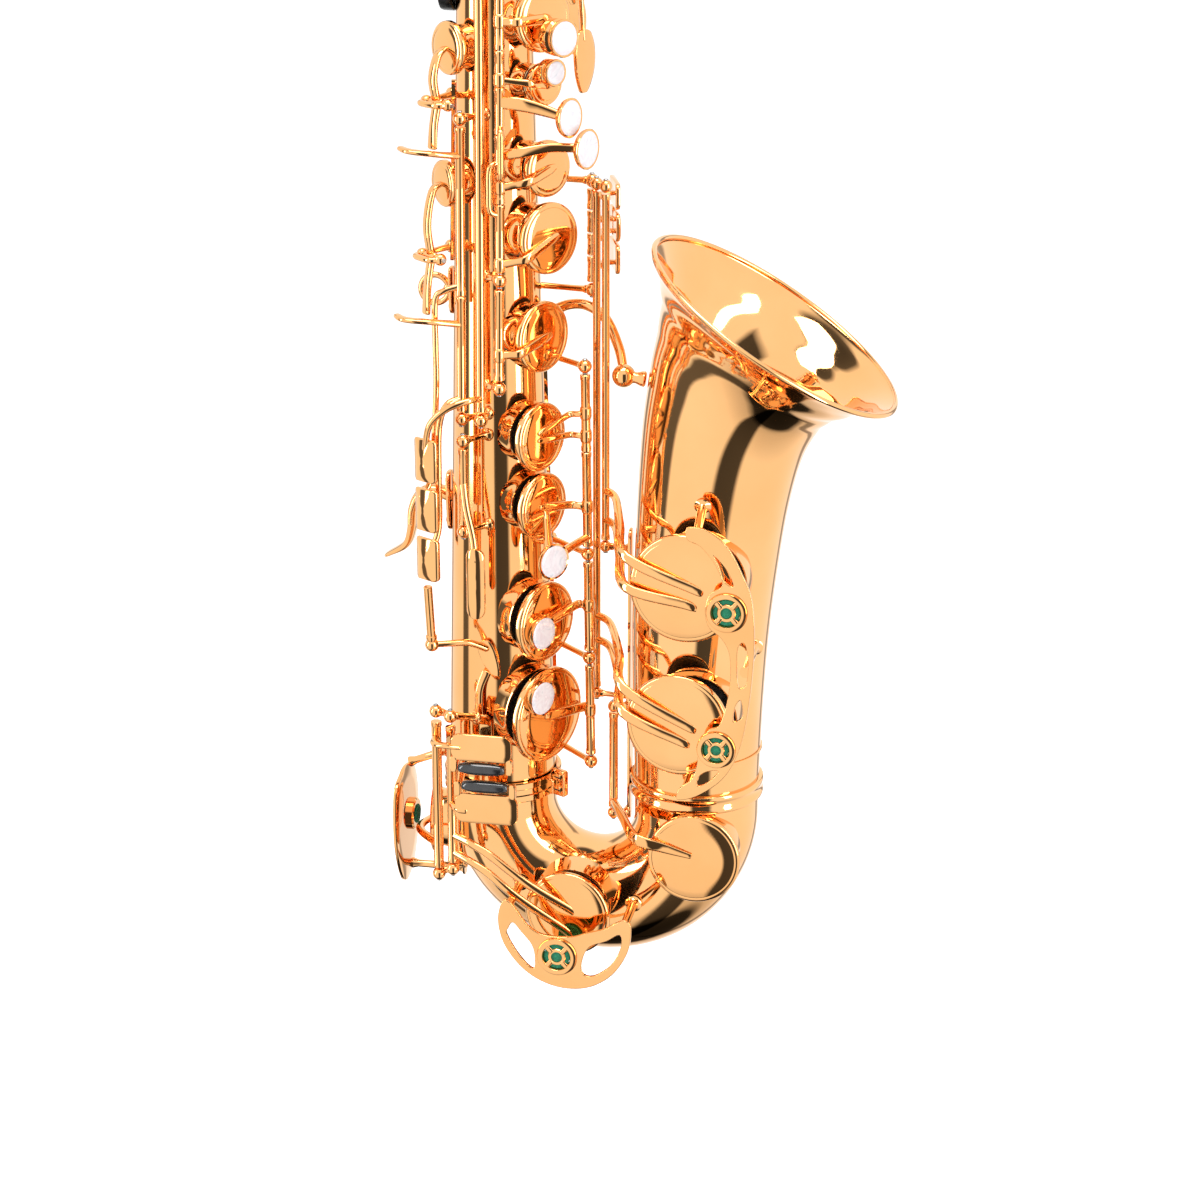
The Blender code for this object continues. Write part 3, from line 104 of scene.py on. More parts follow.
# name: (angle round the body, height, chimney radius, cup radius)
BODY_HOLES = {
    "key_c": (-27, 447, 7.6, 9.2),
    "key_b": (-27, 411, 11.3, 13.5),
    "key_bis": (-27, 385, 7.0, 8.7),
    "key_a": (-26, 351, 9.6, 11.6),
    "key_g": (-26, 322.5, 12.6, 14.8),
    "key_g_sharp": (-32, 281, 12.6, 15.0),
    "key_f_sharp": (-40, 240, 12.4, 14.6),
    "key_f": (-40, 210, 12.2, 14.3),
    "key_e": (-40, 159, 15.0, 17.3),
    "key_d": (-40, 117, 18.4, 21.0),
    "cup_side_c": (-130, 399, 8.4, 10.8),
    "cup_side_bb": (-137, 344, 7.8, 9.6),
    "key_side_e": (-52, 487, 6.2, 8.0),
    "key_palm_d": (112, 452, 7.2, 9.0),
    "key_palm_eb": (112, 478, 6.8, 8.6),
    "key_palm_f": (112, 505, 6.2, 8.0),
    "key_octave": (128, 492, 2.6, 4.2),
}
# name: (centre inside the tube, outward normal, chimney top, chimney radius, cup radius)
LOW_HOLES = {
    "key_low_c": (Vector((37, 0, 33)), Vector((0, -1, 0)), 33.0, 16.4, 19.0),
    "key_low_c_sharp": (Vector((91, 0, 60.5)), Vector((0, -1, 0)), 32.0, 16.9, 20.0),
    "key_low_bb": (Vector((91, 0, 185)), Vector((0, -1, 0)), 35.0, 20.8, 23.2),
    "key_low_b": (Vector((89, 0, 124)), Vector((0, -1, 0)), 33.5, 19.4, 22.2),
    "key_low_eb": (Vector((2, 0, 57)), Vector((-0.99, -0.14, 0)).normalized(), 29.5, 13.0, 15.4),
}
OPEN_UPPER, OPEN_LOWER, OPEN_LOW_C, OPEN_BELL = -12.0, 10.0, -6.5, -6.0


# ---------------------------------------------------------------- materials

def shader_of(name):
    mat = bpy.data.materials.new(name)
    mat.use_nodes = True
    return mat, mat.node_tree, mat.node_tree.nodes["Principled BSDF"]


def noise_of(tree, scale, detail=3.0, distortion=0.0, stretch=(1, 1, 1)):
    where = tree.nodes.new("ShaderNodeTexCoord")
    spread = tree.nodes.new("ShaderNodeMapping")
    spread.inputs["Scale"].default_value = stretch
    texture = tree.nodes.new("ShaderNodeTexNoise")
    texture.inputs["Scale"].default_value = scale
    texture.inputs["Detail"].default_value = detail
    texture.inputs["Distortion"].default_value = distortion
    tree.links.new(where.outputs["Object"], spread.inputs["Vector"])
    tree.links.new(spread.outputs["Vector"], texture.inputs["Vector"])
    return texture.outputs["Fac"]


def ramp(tree, source, stops):
    steps = tree.nodes.new("ShaderNodeValToRGB")
    while len(steps.color_ramp.elements) < len(stops):
        steps.color_ramp.elements.new(0.5)
    for element, (place, colour) in zip(steps.color_ramp.elements, stops):
        element.position = place
        element.color = (*colour, 1) if len(colour) == 3 else colour
    tree.links.new(source, steps.inputs["Fac"])
    return steps.outputs["Color"]


def spread_to(tree, source, low, high):
    scale = tree.nodes.new("ShaderNodeMapRange")
    scale.inputs["From Min"].default_value = 0.3
    scale.inputs["From Max"].default_value = 0.7
    scale.inputs["To Min"].default_value = low
    scale.inputs["To Max"].default_value = high
    tree.links.new(source, scale.inputs["Value"])
    return scale.outputs["Result"]


def bump(tree, shader, source, strength, distance):
    node = tree.nodes.new("ShaderNodeBump")
    node.inputs["Strength"].default_value = strength
    node.inputs["Distance"].default_value = distance
    tree.links.new(source, node.inputs["Height"])
    tree.links.new(node.outputs["Normal"], shader.inputs["Normal"])


def metal(name, dark, light, rough):
    mat, tree, shader = shader_of(name)
    shader.inputs["Metallic"].default_value = 1.0
    tone = ramp(tree, noise_of(tree, 22, 4), ((0.3, dark), (0.7, light)))
    tree.links.new(tone, shader.inputs["Base Color"])
    smear = noise_of(tree, 60, 6, 0.6)
    tree.links.new(spread_to(tree, smear, *rough), shader.inputs["Roughness"])
    return mat


def plain(name, dark, light, rough, scale, height=0.3, coat=0.0, metallic=0.0, stretch=(1, 1, 1)):
    mat, tree, shader = shader_of(name)
    shader.inputs["Metallic"].default_value = metallic
    shader.inputs["Coat Weight"].default_value = coat
    shader.inputs["Coat Roughness"].default_value = 0.05
    grain = noise_of(tree, scale, 5, 0.3, stretch)
    tree.links.new(ramp(tree, grain, ((0.3, dark), (0.7, light))), shader.inputs["Base Color"])
    tree.links.new(spread_to(tree, grain, *rough), shader.inputs["Roughness"])
    bump(tree, shader, grain, height, 0.0003)
    return mat


def pearl_material():
    mat, tree, shader = shader_of("mother_of_pearl")
    cloud = noise_of(tree, 140, 3, 1.6)
    tint = ramp(tree, cloud, (
        (0.25, (0.42, 0.43, 0.47)), (0.45, (0.60, 0.58, 0.60)),
        (0.6, (0.55, 0.50, 0.53)), (0.8, (0.68, 0.66, 0.66)),
    ))
    tree.links.new(tint, shader.inputs["Base Color"])
    tree.links.new(spread_to(tree, cloud, 0.16, 0.3), shader.inputs["Roughness"])
    shader.inputs["Coat Weight"].default_value = 0.8
    shader.inputs["Coat Roughness"].default_value = 0.06
    shader.inputs["Sheen Weight"].default_value = 0.1
    return mat


LACQUER = metal("gold_lacquer", (0.90, 0.455, 0.170), (0.95, 0.52, 0.215), (0.035, 0.075))
BELL_LACQUER = metal("gold_lacquer_bell", (0.92, 0.485, 0.190), (0.97, 0.545, 0.235), (0.04, 0.075))
STEEL = metal("steel_rod", (0.30, 0.28, 0.27), (0.45, 0.42, 0.40), (0.18, 0.32))
# dark pad leather for the pads, also used for painted shade: the discs inside the tone holes and the
# clamp screw slots
PAD_LEATHER_AND_SHADE = plain("pad_leather_and_painted_shade", (0.010, 0.008, 0.007), (0.03, 0.022, 0.018), (0.4, 0.6), 500, 0.5)
FELT = plain("green_felt", (0.004, 0.09, 0.045), (0.012, 0.20, 0.10), (0.85, 1.0), 1400, 1.0)
EBONITE = plain(
    "black_ebonite", (0.008, 0.008, 0.009), (0.02, 0.02, 0.021), (0.08, 0.18), 300, 0.05, 0.6
)
RESIN = plain("black_resin", (0.004, 0.004, 0.004), (0.010, 0.010, 0.010), (0.16, 0.28), 700, 0.12)
RESIN.node_tree.nodes["Principled BSDF"].inputs["Specular IOR Level"].default_value = 0.22
CORK = plain("cork", (0.30, 0.17, 0.08), (0.62, 0.42, 0.24), (0.75, 0.95), 420, 0.9)
CANE = plain(
    "cane", (0.62, 0.45, 0.22), (0.86, 0.70, 0.42), (0.45, 0.65), 260, 0.4, 0.0, 0.0, (1, 8, 1)
)
PEARL = pearl_material()


# ---------------------------------------------------------------- mesh making

class Shape:
    """Faces gathered for one piece, sorted by material."""

    def __init__(self):
        self.parts = {}

    def put(self, verts, faces, mat):
        known_verts, known_faces = self.parts.setdefault(mat, ([], []))
        base = len(known_verts)
        known_verts.extend(verts)
        known_faces.extend(tuple(base + i for i in face) for face in faces)


def count(sides):
    return max(8, int(sides * FINE))


def loft(shape, rings, mat, capped=True):
    """Skin over closed rings of points; a ring of one point closes to a pole."""
    verts, faces, starts = [], [], []
    for ring in rings:
        starts.append(len(verts))
        verts.extend(ring)
    for i in range(len(rings) - 1):
        a, b = starts[i], starts[i + 1]
        n, m = len(rings[i]), len(rings[i + 1])
        for k in range(max(n, m)):
            j = (k + 1) % max(n, m)
            if n == 1:
                faces.append((a, b + j, b + k))
            elif m == 1:
                faces.append((a + k, a + j, b))
            else:
                faces.append((a + k, a + j, b + j, b + k))
    if capped and len(rings[0]) > 1:
        faces.append(tuple(reversed(range(len(rings[0])))))
    if capped and len(rings[-1]) > 1:
        faces.append(tuple(starts[-1] + k for k in range(len(rings[-1]))))
    shape.put(verts, faces, mat)


def basis(axis):
    """Two unit directions square to an axis."""
    axis = axis.normalized()
    hint = UP if abs(axis.z) < 0.9 else Vector((1, 0, 0))
    first = (hint - axis * hint.dot(axis)).normalized()
    return first, axis.cross(first)


def lathe(shape, profile, centre, axis, mat=None, sides=48, closed=False):
    """Turned solid: profile is (radius, height) along the axis from the centre."""
    centre, axis = Vector(centre), Vector(axis).normalized()
    u, v = basis(axis)
    sides = count(sides)
    rings = []
    for r, h in profile:
        if r < 1e-6:
            rings.append([centre + axis * h])
            continue
        ring = []
        for k in range(sides):
            a = math.tau * k / sides
            ring.append(centre + axis * h + (u * math.cos(a) + v * math.sin(a)) * r)
        rings.append(ring)
    if closed:
        rings.append(rings[0])
    loft(shape, rings, mat or LACQUER, capped=not closed)


def bend_through(points, values, steps):
    """Catmull-Rom curve through the points, with the values carried along it."""
    points = [Vector(p) for p in points]
    out_p, out_v = [], []
    last = len(points) - 1
    for i in range(last):
        p0, p1 = points[max(i - 1, 0)], points[i]
        p2, p3 = points[i + 1], points[min(i + 2, last)]
        v0, v1 = values[max(i - 1, 0)], values[i]
        v2, v3 = values[i + 1], values[min(i + 2, last)]
        for s in range(steps):
            t = s / steps
            w0 = -0.5 * t + t * t - 0.5 * t ** 3
            w1 = 1 - 2.5 * t * t + 1.5 * t ** 3
            w2 = 0.5 * t + 2 * t * t - 1.5 * t ** 3
            w3 = -0.5 * t * t + 0.5 * t ** 3
            out_p.append(p0 * w0 + p1 * w1 + p2 * w2 + p3 * w3)
            out_v.append([a * w0 + b * w1 + c * w2 + d * w3 for a, b, c, d in zip(v0, v1, v2, v3)])
    out_p.append(points[-1])
    out_v.append(list(values[-1]))
    return out_p, out_v


def bar(shape, points, width, thick=None, up=None, sides=18, steps=6, square=2.0, ends=True):
    """Smooth bar along a path. width and thick are radii, one number or one per point."""
    n = len(points)
    width = width if isinstance(width, (list, tuple)) else [width] * n
    thick = width if thick is None else thick
    thick = thick if isinstance(thick, (list, tuple)) else [thick] * n
    if n == 2:
        path = [Vector(p) for p in points]
        values = list(zip(width, thick))
    else:
        path, values = bend_through(points, list(zip(width, thick)), max(2, int(steps * FINE)))
    sides = count(sides)
    tangents = []
    for i in range(len(path)):
        ahead = path[min(i + 1, len(path) - 1)] - path[max(i - 1, 0)]
        tangents.append(ahead.normalized())
    flat = Vector(up).normalized() if up is not None else basis(tangents[0])[0]
    rings = []

    def ring_at(centre, tangent, w, t, normal):
        side = tangent.cross(normal).normalized()
        ring = []
        for k in range(sides):
            a = math.tau * k / sides
            c, s = math.cos(a), math.sin(a)
            x = math.copysign(abs(c) ** (2 / square), c) * w
            y = math.copysign(abs(s) ** (2 / square), s) * t
            ring.append(centre + side * x + normal * y)
        return ring

    normals = []
    normal = flat
    for tangent in tangents:
        source = flat if up is not None else normal
        normal = (source - tangent * source.dot(tangent)).normalized()
        normals.append(normal)
    if ends:
        for q in (1.0, 0.7, 0.35):
            k = math.sqrt(max(0.0, 1 - q * q)) or 0.12
            w, t = values[0]
            rings.append(
                ring_at(path[0] - tangents[0] * t * q * 0.9, tangents[0], w * k, t * k, normals[0])
            )
    for p, tangent, (w, t), normal in zip(path, tangents, values, normals):
        rings.append(ring_at(p, tangent, w, t, normal))
    if ends:
        for q in (0.35, 0.7, 1.0):
            k = math.sqrt(max(0.0, 1 - q * q)) or 0.12
            w, t = values[-1]
            rings.append(
                ring_at(path[-1] + tangents[-1] * t * q * 0.9, tangents[-1], w * k, t * k, normals[-1])
            )
    loft(shape, rings, LACQUER)


def rounded(width, height, corner, steps=6):
    points = []
    for cx, cy, start in ((1, 1, 0), (-1, 1, 90), (-1, -1, 180), (1, -1, 270)):
        for i in range(steps + 1):
            a = math.radians(start + 90 * i / steps)
            x = cx * (width / 2 - corner) + corner * math.cos(a)
            y = cy * (height / 2 - corner) + corner * math.sin(a)
            points.append((x, y))
    return points


def smooth_outline(points, steps=5):
    out = []
    n = len(points)
    for i in range(n):
        p0, p1 = Vector(points[i - 1]), Vector(points[i])
        p2, p3 = Vector(points[(i + 1) % n]), Vector(points[(i + 2) % n])
        for s in range(steps):
            t = s / steps
            q = (p1 * 2 + (p2 - p0) * t + (p0 * 2 - p1 * 5 + p2 * 4 - p3) * t * t
                 + (p1 * 3 - p0 - p2 * 3 + p3) * t ** 3) * 0.5
            out.append((q.x, q.y))
    return out


def plate(shape, outline, thick, centre, x_dir, normal, mat=None, bow=0.0, soft=0.35, crown=0.0):
    """Plate with rounded edges; bow bends it about its own y axis, crown swells its face."""
    normal = Vector(normal).normalized()
    x_dir = Vector(x_dir)
    x_dir = (x_dir - normal * x_dir.dot(normal)).normalized()
    y_dir = normal.cross(x_dir)
    centre = Vector(centre)
    mid = Vector((sum(p[0] for p in outline), sum(p[1] for p in outline))) / len(outline)
    reach = max((Vector(p) - mid).length for p in outline)

    def level(scale_in, h, shrink=1.0):
        ring = []
        for p in outline:
            away = Vector(p) - mid
            far = away.length
            q = mid + away * (max(0.0, far - scale_in) / far if far else 0) * shrink
            lift = h - bow * (q.x - mid.x) ** 2 + crown * (1 - ((q - mid).length / reach) ** 2)
            ring.append(centre + x_dir * q.x + y_dir * q.y + normal * lift)
        return ring

    half = thick / 2
    rings = [
        [sum(level(soft, -half, 0.35), Vector()) / len(outline)],
        level(soft, -half, 0.5), level(soft, -half), level(soft * 0.3, -half + soft * 0.3),
        level(0, -half + soft), level(0, half - soft),
        level(soft * 0.3, half - soft * 0.3), level(soft, half), level(soft, half, 0.75),
        level(soft, half, 0.5), level(soft, half, 0.25),
        [sum(level(soft, half, 0.1), Vector()) / len(outline)],
    ]
    loft(shape, rings, mat or LACQUER)


def cut_plate(shape, outline, holes, thick, y):
    """Flat plate in the XZ plane at one Y, pierced by closed outlines."""
    data = bpy.data.curves.new("outline", "CURVE")
    data.dimensions = "2D"
    data.fill_mode = "BOTH"
    data.extrude = thick / 2 - 0.3
    data.bevel_depth = 0.3
    data.bevel_resolution = 2
    data.offset = -0.3
    for loop in (outline, *holes):
        spline = data.splines.new("POLY")
        spline.points.add(len(loop) - 1)
        spline.use_cyclic_u = True
        for target, (x, z) in zip(spline.points, loop):
            target.co = (x, z, 0, 1)
    holder = bpy.data.objects.new("outline", data)
    bpy.context.scene.collection.objects.link(holder)
    bpy.context.view_layer.update()
    mesh = bpy.data.meshes.new_from_object(holder.evaluated_get(bpy.context.evaluated_depsgraph_get()))
    verts = [Vector((v.co.x, y - v.co.z, v.co.y)) for v in mesh.vertices]
    faces = [tuple(p.vertices) for p in mesh.polygons]
    shape.put(verts, faces, LACQUER)
    bpy.data.objects.remove(holder)
    bpy.data.curves.remove(data)
    bpy.data.meshes.remove(mesh)


def round_hole(cx, cy, r):
    """A circle wound the other way from an outline."""
    turns = [math.tau * i / 32 for i in range(32)]
    return [(cx + r * math.cos(a), cy + r * math.sin(a)) for a in reversed(turns)]


def make(name, shape, body=None, sharp=38):
    """Turns the gathered faces into one object per material, riding on its own body or another."""
    body, nodes = body or name, [name]
    for i, (mat, (verts, faces)) in enumerate(shape.parts.items()):
        label = "look_" + name + ("" if i == 0 else "_" + mat.name)
        mesh = bpy.data.meshes.new(label)
        mesh.from_pydata([(v - STRAP) * MM for v in verts], [], faces)
        mesh.validate()
        mesh.materials.append(mat)
        mesh.shade_smooth()
        mesh.set_sharp_from_angle(angle=math.radians(sharp))
        obj = bpy.data.objects.new(label, mesh)
        bpy.context.scene.collection.objects.link(obj)
        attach(obj, body)
        if i == 0:
            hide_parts(*nodes)


# ---------------------------------------------------------------- instrument helpers

def body_radius(z):
    return BODY_R0 - BODY_TAPER * (z - BODY_Z0)


def around(theta, radius, z):
    a = math.radians(theta)
    return Vector((radius * math.cos(a), radius * math.sin(a), z))


def on_line(hinge, z):
    low, high = hinge
    return low.lerp(high, (z - low.z) / (high.z - low.z))


def swung(point, hinge, angle):
    low, high = hinge
    turn = Matrix.Rotation(math.radians(angle), 3, (high - low).normalized())
    return low + turn @ (Vector(point) - low)


def swung_dir(direction, hinge, angle):
    low, high = hinge
    return Matrix.Rotation(math.radians(angle), 3, (high - low).normalized()) @ Vector(direction)


def rod(shape, start, end, radius, mat=None, soft=0.3, sides=24):
    start, end = Vector(start), Vector(end)
    length = (end - start).length
    profile = (
        (0, 0), (radius - soft, 0), (radius, soft), (radius, length - soft), (radius - soft, length),
        (0, length),
    )
    lathe(shape, profile, start, end - start, mat, sides)


def hub(shape, hinge, z0, z1, radius=2.2):
    """Hinge tube with a turned collar at each end."""
    start, end = on_line(hinge, z0), on_line(hinge, z1)
    length = (end - start).length
    r = radius
    profile = (
        (0.9, 0), (r - 0.15, 0), (r, 0.15), (r, 2.0), (r - 0.22, 2.3), (r - 0.22, length - 2.3),
        (r, length - 2.0), (r, length - 0.15), (r - 0.15, length), (0.9, length),
    )
    lathe(shape, profile, start, end - start, None, 28)


def ball(shape, centre, radius, axis=(0, 0, 1)):
    profile = []
    for i in range(11):
        a = math.pi * i / 10 - math.pi / 2
        r = radius * math.cos(a)
        profile.append((0 if i in (0, 10) else r, radius * math.sin(a)))
    lathe(shape, profile, centre, axis, None, 28)


def post(shape, foot, head, leg=1.4, head_r=2.9, hinge_dir=(0, 0, 1), slot=True):
    """Turned post: round foot, waisted leg, ball head with a pivot screw."""
    foot, head = Vector(foot), Vector(head)
    axis = head - foot
    long = axis.length
    profile = [
        (0, -0.6), (2.7, -0.6), (2.8, 0.2), (2.5, 0.7), (1.9, 1.1), (leg, 2.0), (leg * 0.92, long * 0.5)
    ]
    profile += [
        (leg, max(long - head_r - 1.2, long * 0.6)), (leg + 0.45, long - head_r + 0.1),
        (leg, long - head_r + 0.6), (0, long)
    ]
    lathe(shape, profile, foot, axis, None, 24)
    hinge_dir = Vector(hinge_dir).normalized()
    ball(shape, head, head_r, hinge_dir)
    if slot:
        rod(
            shape, head + hinge_dir * (head_r - 0.5), head + hinge_dir * (head_r + 0.35), 1.05, STEEL,
            0.15, 16
        )


def rib(shape, theta, z0, z1, width=5.0, thickness=1.2):
    """Long mounting plate curved to the tube, with rounded ends."""
    rings = []
    half = width / 2
    steps = max(10, int((z1 - z0) / 12))
    stations = []
    for e in (0.0, 0.12, 0.4, 0.75):
        stations.append((z0 + half * e, half * math.sqrt(max(0.02, 1 - (1 - e) ** 2))))
    for i in range(steps + 1):
        stations.append((z0 + half + (z1 - z0 - width) * i / steps, half))
    for e in (0.75, 0.4, 0.12, 0.0):
        stations.append((z1 - half * e, half * math.sqrt(max(0.02, 1 - (1 - e) ** 2))))
    for z, w in stations:
        r = body_radius(z)
        spread = math.degrees(w / r)
        ring = []
        for k in range(7):
            ring.append(around(theta - spread + 2 * spread * k / 6, r + PAD_GAP + thickness, z))
        for k in range(7):
            ring.append(around(theta + spread - 2 * spread * k / 6, r + PAD_GAP - 0.3, z))
        rings.append(ring)
    loft(shape, rings, LACQUER)


def rib_point(theta, z):
    return around(theta, body_radius(z) + 1.5, z)


def screw_head(shape, at, normal, radius=1.6):
    profile = ((0, 0), (radius, 0), (radius, 0.5), (radius - 0.35, 0.9), (0, 1.0))
    lathe(shape, profile, at, normal, None, 20)


def chimney(shape, foot, normal, radius, low, high, mat=None):
    """Drawn tone hole: a flared foot, a straight wall and a rolled rim, with a thin dark disc inside
    that is painted shade for the bore.
    """
    r = radius
    profile = (
        (r - 1.2, low), (r + 0.9, low), (r + 0.35, high - 2.9), (r, high - 1.6), (r, high - 0.9),
        (r + 0.3, high - 0.55), (r + 0.2, high - 0.15), (r - 0.25, high), (r - 0.8, high - 0.2),
        (r - 1.1, high - 1.2),
    )
    lathe(shape, profile, foot, normal, mat, 64, closed=True)
    # painted shade: a thin disc of the dark pad material across the hole, standing in for the shade
    # down the bore
    lathe(shape, (
        (0, high - 4.4), (r - 1.0, high - 4.4), (r - 1.0, high - 4.2), (0, high - 4.2)
    ), foot, normal, PAD_LEATHER_AND_SHADE, 48)


def cup(shape, seat, normal, radius, height=4.0):
    """Pad cup with a stepped rim, a faintly domed face and its leather pad."""
    r, h = radius, height
    profile = (
        (0, 1.0), (r - 1.0, 1.0), (r - 0.2, 0.9), (r, 1.1), (r, h - 1.5), (r - 0.15, h - 1.0),
        (r - 0.7, h - 0.55), (r - 1.7, h - 0.3), (r - 2.1, h - 0.38), (r - 2.4, h - 0.2),
        (r * 0.6, h - 0.02), (r * 0.3, h + 0.1), (0, h + 0.14),
    )
    lathe(shape, profile, seat, normal, None, 72)
    pad = (
        (0, 0.55), (r * 0.28, 0.5), (r - 3.2, 0.15), (r - 1.9, 0.1), (r - 1.1, 0.35), (r - 0.75, 0.9),
        (r - 0.8, 1.6), (0, 1.6),
    )
    lathe(shape, pad, seat, normal, PAD_LEATHER_AND_SHADE, 56)
    if r > 7:
        lathe(shape, ((0, 0.2), (r * 0.34, 0.3), (r * 0.36, 0.7), (0, 0.7)), seat, normal, None, 32)


def pearl(shape, seat, normal, radius, height=3.0):
    """White finger pearl in a turned metal holder."""
    r = radius
    holder = (
        (0, 0), (r - 1.6, 0), (r - 0.5, height * 0.35), (r, height * 0.75), (r, height - 0.1),
        (r - 0.25, height + 0.1), (r - 0.9, height - 0.05), (r - 1.0, height - 0.5), (0, height - 0.5),
    )
    lathe(shape, holder, seat, normal, None, 40)
    top = (
        (0, height - 0.6), (r - 0.95, height - 0.6), (r - 0.95, height - 0.05),
        (r - 1.4, height + 0.25), (r * 0.6, height + 0.2), (0, height + 0.05)
    )
    lathe(shape, top, seat, normal, PEARL, 40)


def cup_place(name, hinge=None, angle=0.0):
    """Seat, top and normal of a pad cup at rest."""
    if name in BODY_HOLES:
        theta, z, _, _ = BODY_HOLES[name]
        normal = around(theta, 1, 0)
        seat = around(theta, body_radius(z) + CHIMNEY_H + PAD_GAP, z)
    else:
        centre, normal, top, _, _ = LOW_HOLES[name]
        seat = centre + normal * (top + PAD_GAP)
    if hinge is not None:
        seat = swung(seat, hinge, angle)
        normal = swung_dir(normal, hinge, angle)
    return seat, seat + normal * 4.0, normal


def pad_key(name, hinge=None, angle=0.0):
    """Starts a key with its pad cup: the shape, the middle of the cup's top and its normal."""
    s = Shape()
    seat, top, normal = cup_place(name, hinge, angle)
    cup(s, seat, normal, (BODY_HOLES if name in BODY_HOLES else LOW_HOLES)[name][-1])
    return s, top, normal


def finger_key(name, z0, z1, arm_z, arm_width=2.0):
    """Starts a stack key: its open pad cup, its hinge tube and the arm between them."""
    hinge, angle = (UPPER_LINE, OPEN_UPPER) if BODY_HOLES[name][1] > 300 else (LOWER_LINE, OPEN_LOWER)
    s, top, normal = pad_key(name, hinge, angle)
    hub(s, hinge, z0, z1)
    cup_arm(s, name, hinge, arm_z, top, normal, arm_width)
    return s, top, normal


def stack_arm(shape, hinge, z, top, normal, reach, width=2.0):
    """Forged arm from the hinge tube, over the rim of a cup and along its top past the middle."""
    start = on_line(hinge, z)
    across = start - top
    across = (across - normal * across.dot(normal)).normalized()
    knee = top + across * (reach + 0.5) + normal * 1.0
    rise = start.lerp(knee, 0.5) + normal * 0.5
    inner = top + across * (reach * 0.45) + normal * 0.75
    end = top + normal * 0.55
    tip = top - across * min(3.4, reach * 0.25) + normal * 0.4
    bar(shape, (start, rise, knee, inner, end, tip),
        [width * 0.95, width * 0.85, width * 0.95, width * 1.0, width * 0.95, width * 0.55],
        [1.5, 1.25, 1.15, 0.95, 0.75, 0.4], up=normal, square=2.5, steps=5)
    bar(shape, (start - UP * 1.9 * 0.8, start + UP * 1.9 * 0.8), 2.5, 2.5, sides=22)


def cup_arm(shape, name, hinge, z, top, normal, width=2.0):
    stack_arm(shape, hinge, z, top, normal, BODY_HOLES[name][3], width)


# ---------------------------------------------------------------- tubes

def look_body():
    s = Shape()
    r0, r1 = body_radius(BODY_Z0), body_radius(BODY_Z1)
    rings = []
    n = count(96)
    for z, r in (
        (BODY_Z0, r0 - 3), (BODY_Z0, r0), *((z, body_radius(z)) for z in range(90, 526, 14)),
        (BODY_Z1, r1), (BODY_Z1, r1 - 2)
    ):
        rings.append([around(360 * k / n, r, z) for k in range(n)])
    loft(s, rings, LACQUER, capped=True)
    for theta, z, radius, _ in BODY_HOLES.values():
        out = around(theta, 1, 0)
        chimney(s, out * (body_radius(z) - 3.4) + UP * z, out, radius, 0, CHIMNEY_H + 3.4)
    make("body_tube", s, "body")


def look_bow():
    s = Shape()
    low, mid, high = BOW_TUBE
    n = count(80)
    rings = []
    stations = [(Vector((0, 0, BODY_Z0 - 0.4)), Vector((0, 0, -1)), low)]
    for i in range(49):
        a = math.radians(180 + 180 * i / 48)
        t = i / 48
        radius = low + (mid - low) * t * 2 if t < 0.5 else mid + (high - mid) * (t * 2 - 1)
        stations.append((
            Vector((BOW_R + BOW_R * math.cos(a), 0, BOW_Z + BOW_R * math.sin(a))),
            Vector((-math.sin(a), 0, math.cos(a))), radius
        ))
    stations.append((Vector((BELL_X, 0, BELL_Z0 - 0.4)), Vector((0, 0, 1)), high))
    for centre, tangent, radius in stations:
        across = Vector((0, 1, 0))
        out = across.cross(tangent).normalized()
        rings.append([
            centre + (
                out * math.cos(math.tau * k / n) + across * math.sin(math.tau * k / n)
            ) * radius for k in range(n)
        ])
    loft(s, rings, BELL_LACQUER, capped=True)
    for name in ("key_low_c", "key_low_c_sharp", "key_low_eb"):
        centre, normal, top, radius, _ = LOW_HOLES[name]
        start = centre + normal * (top - 13)
        chimney(s, start, normal, radius, 0, 13, BELL_LACQUER)
    make("bow", s, "body")


def look_bell():
    s = Shape()
    points = [(x, 0, z) for x, z, _ in BELL_PATH]
    path, values = bend_through(points, [(r,) for _, _, r in BELL_PATH], 6)
    n = count(128)
    outer, inner = [], []
    for i, (p, (r,)) in enumerate(zip(path, values)):
        tangent = (path[min(i + 1, len(path) - 1)] - path[max(i - 1, 0)]).normalized()
        across = Vector((0, 1, 0))
        out = across.cross(tangent).normalized()
        r = min(r, 59.6)
        for ring, size in ((outer, r), (inner, r - 0.9)):
            ring.append([
                p + (
                    out * math.cos(math.tau * k / n) + across * math.sin(math.tau * k / n)
                ) * size for k in range(n)
            ])
    low = [[v - UP * 9 for v in inner[0]]]
    loft(s, [outer[0], *outer[1:], *reversed(inner), *low], BELL_LACQUER, capped=False)
    up = Vector((math.sin(RIM_TILT), 0, math.cos(RIM_TILT)))
    bead = []
    for i in range(13):
        a = math.tau * i / 12
        bead.append((59.4 + 1.25 * math.cos(a), 1.15 * math.sin(a)))
    lathe(s, bead, RIM_CENTRE, up, BELL_LACQUER, 144, closed=True)
    band = (
        (27.2, 0), (28.5, 0), (29.0, 0.5), (29.0, 2.2), (28.6, 2.6), (28.6, 5.4), (29.0, 5.8),
        (29.0, 7.5), (28.5, 8), (27.2, 8)
    )
    lathe(s, band, (BELL_X, 0, 78), UP, BELL_LACQUER, 96, closed=True)
    lathe(
        s, ((27.6, 0), (28.1, 0.1), (28.3, 0.6), (28.1, 1.1), (27.6, 1.2)), (BELL_X + 0.1, 0, 99), UP,
        BELL_LACQUER, 96, closed=True
    )
    for name in ("key_low_bb", "key_low_b"):
        centre, normal, top, radius, _ = LOW_HOLES[name]
        chimney(s, centre + normal * (top - 11), normal, radius, 0, 11, BELL_LACQUER)
    make("bell", s, "body", sharp=50)


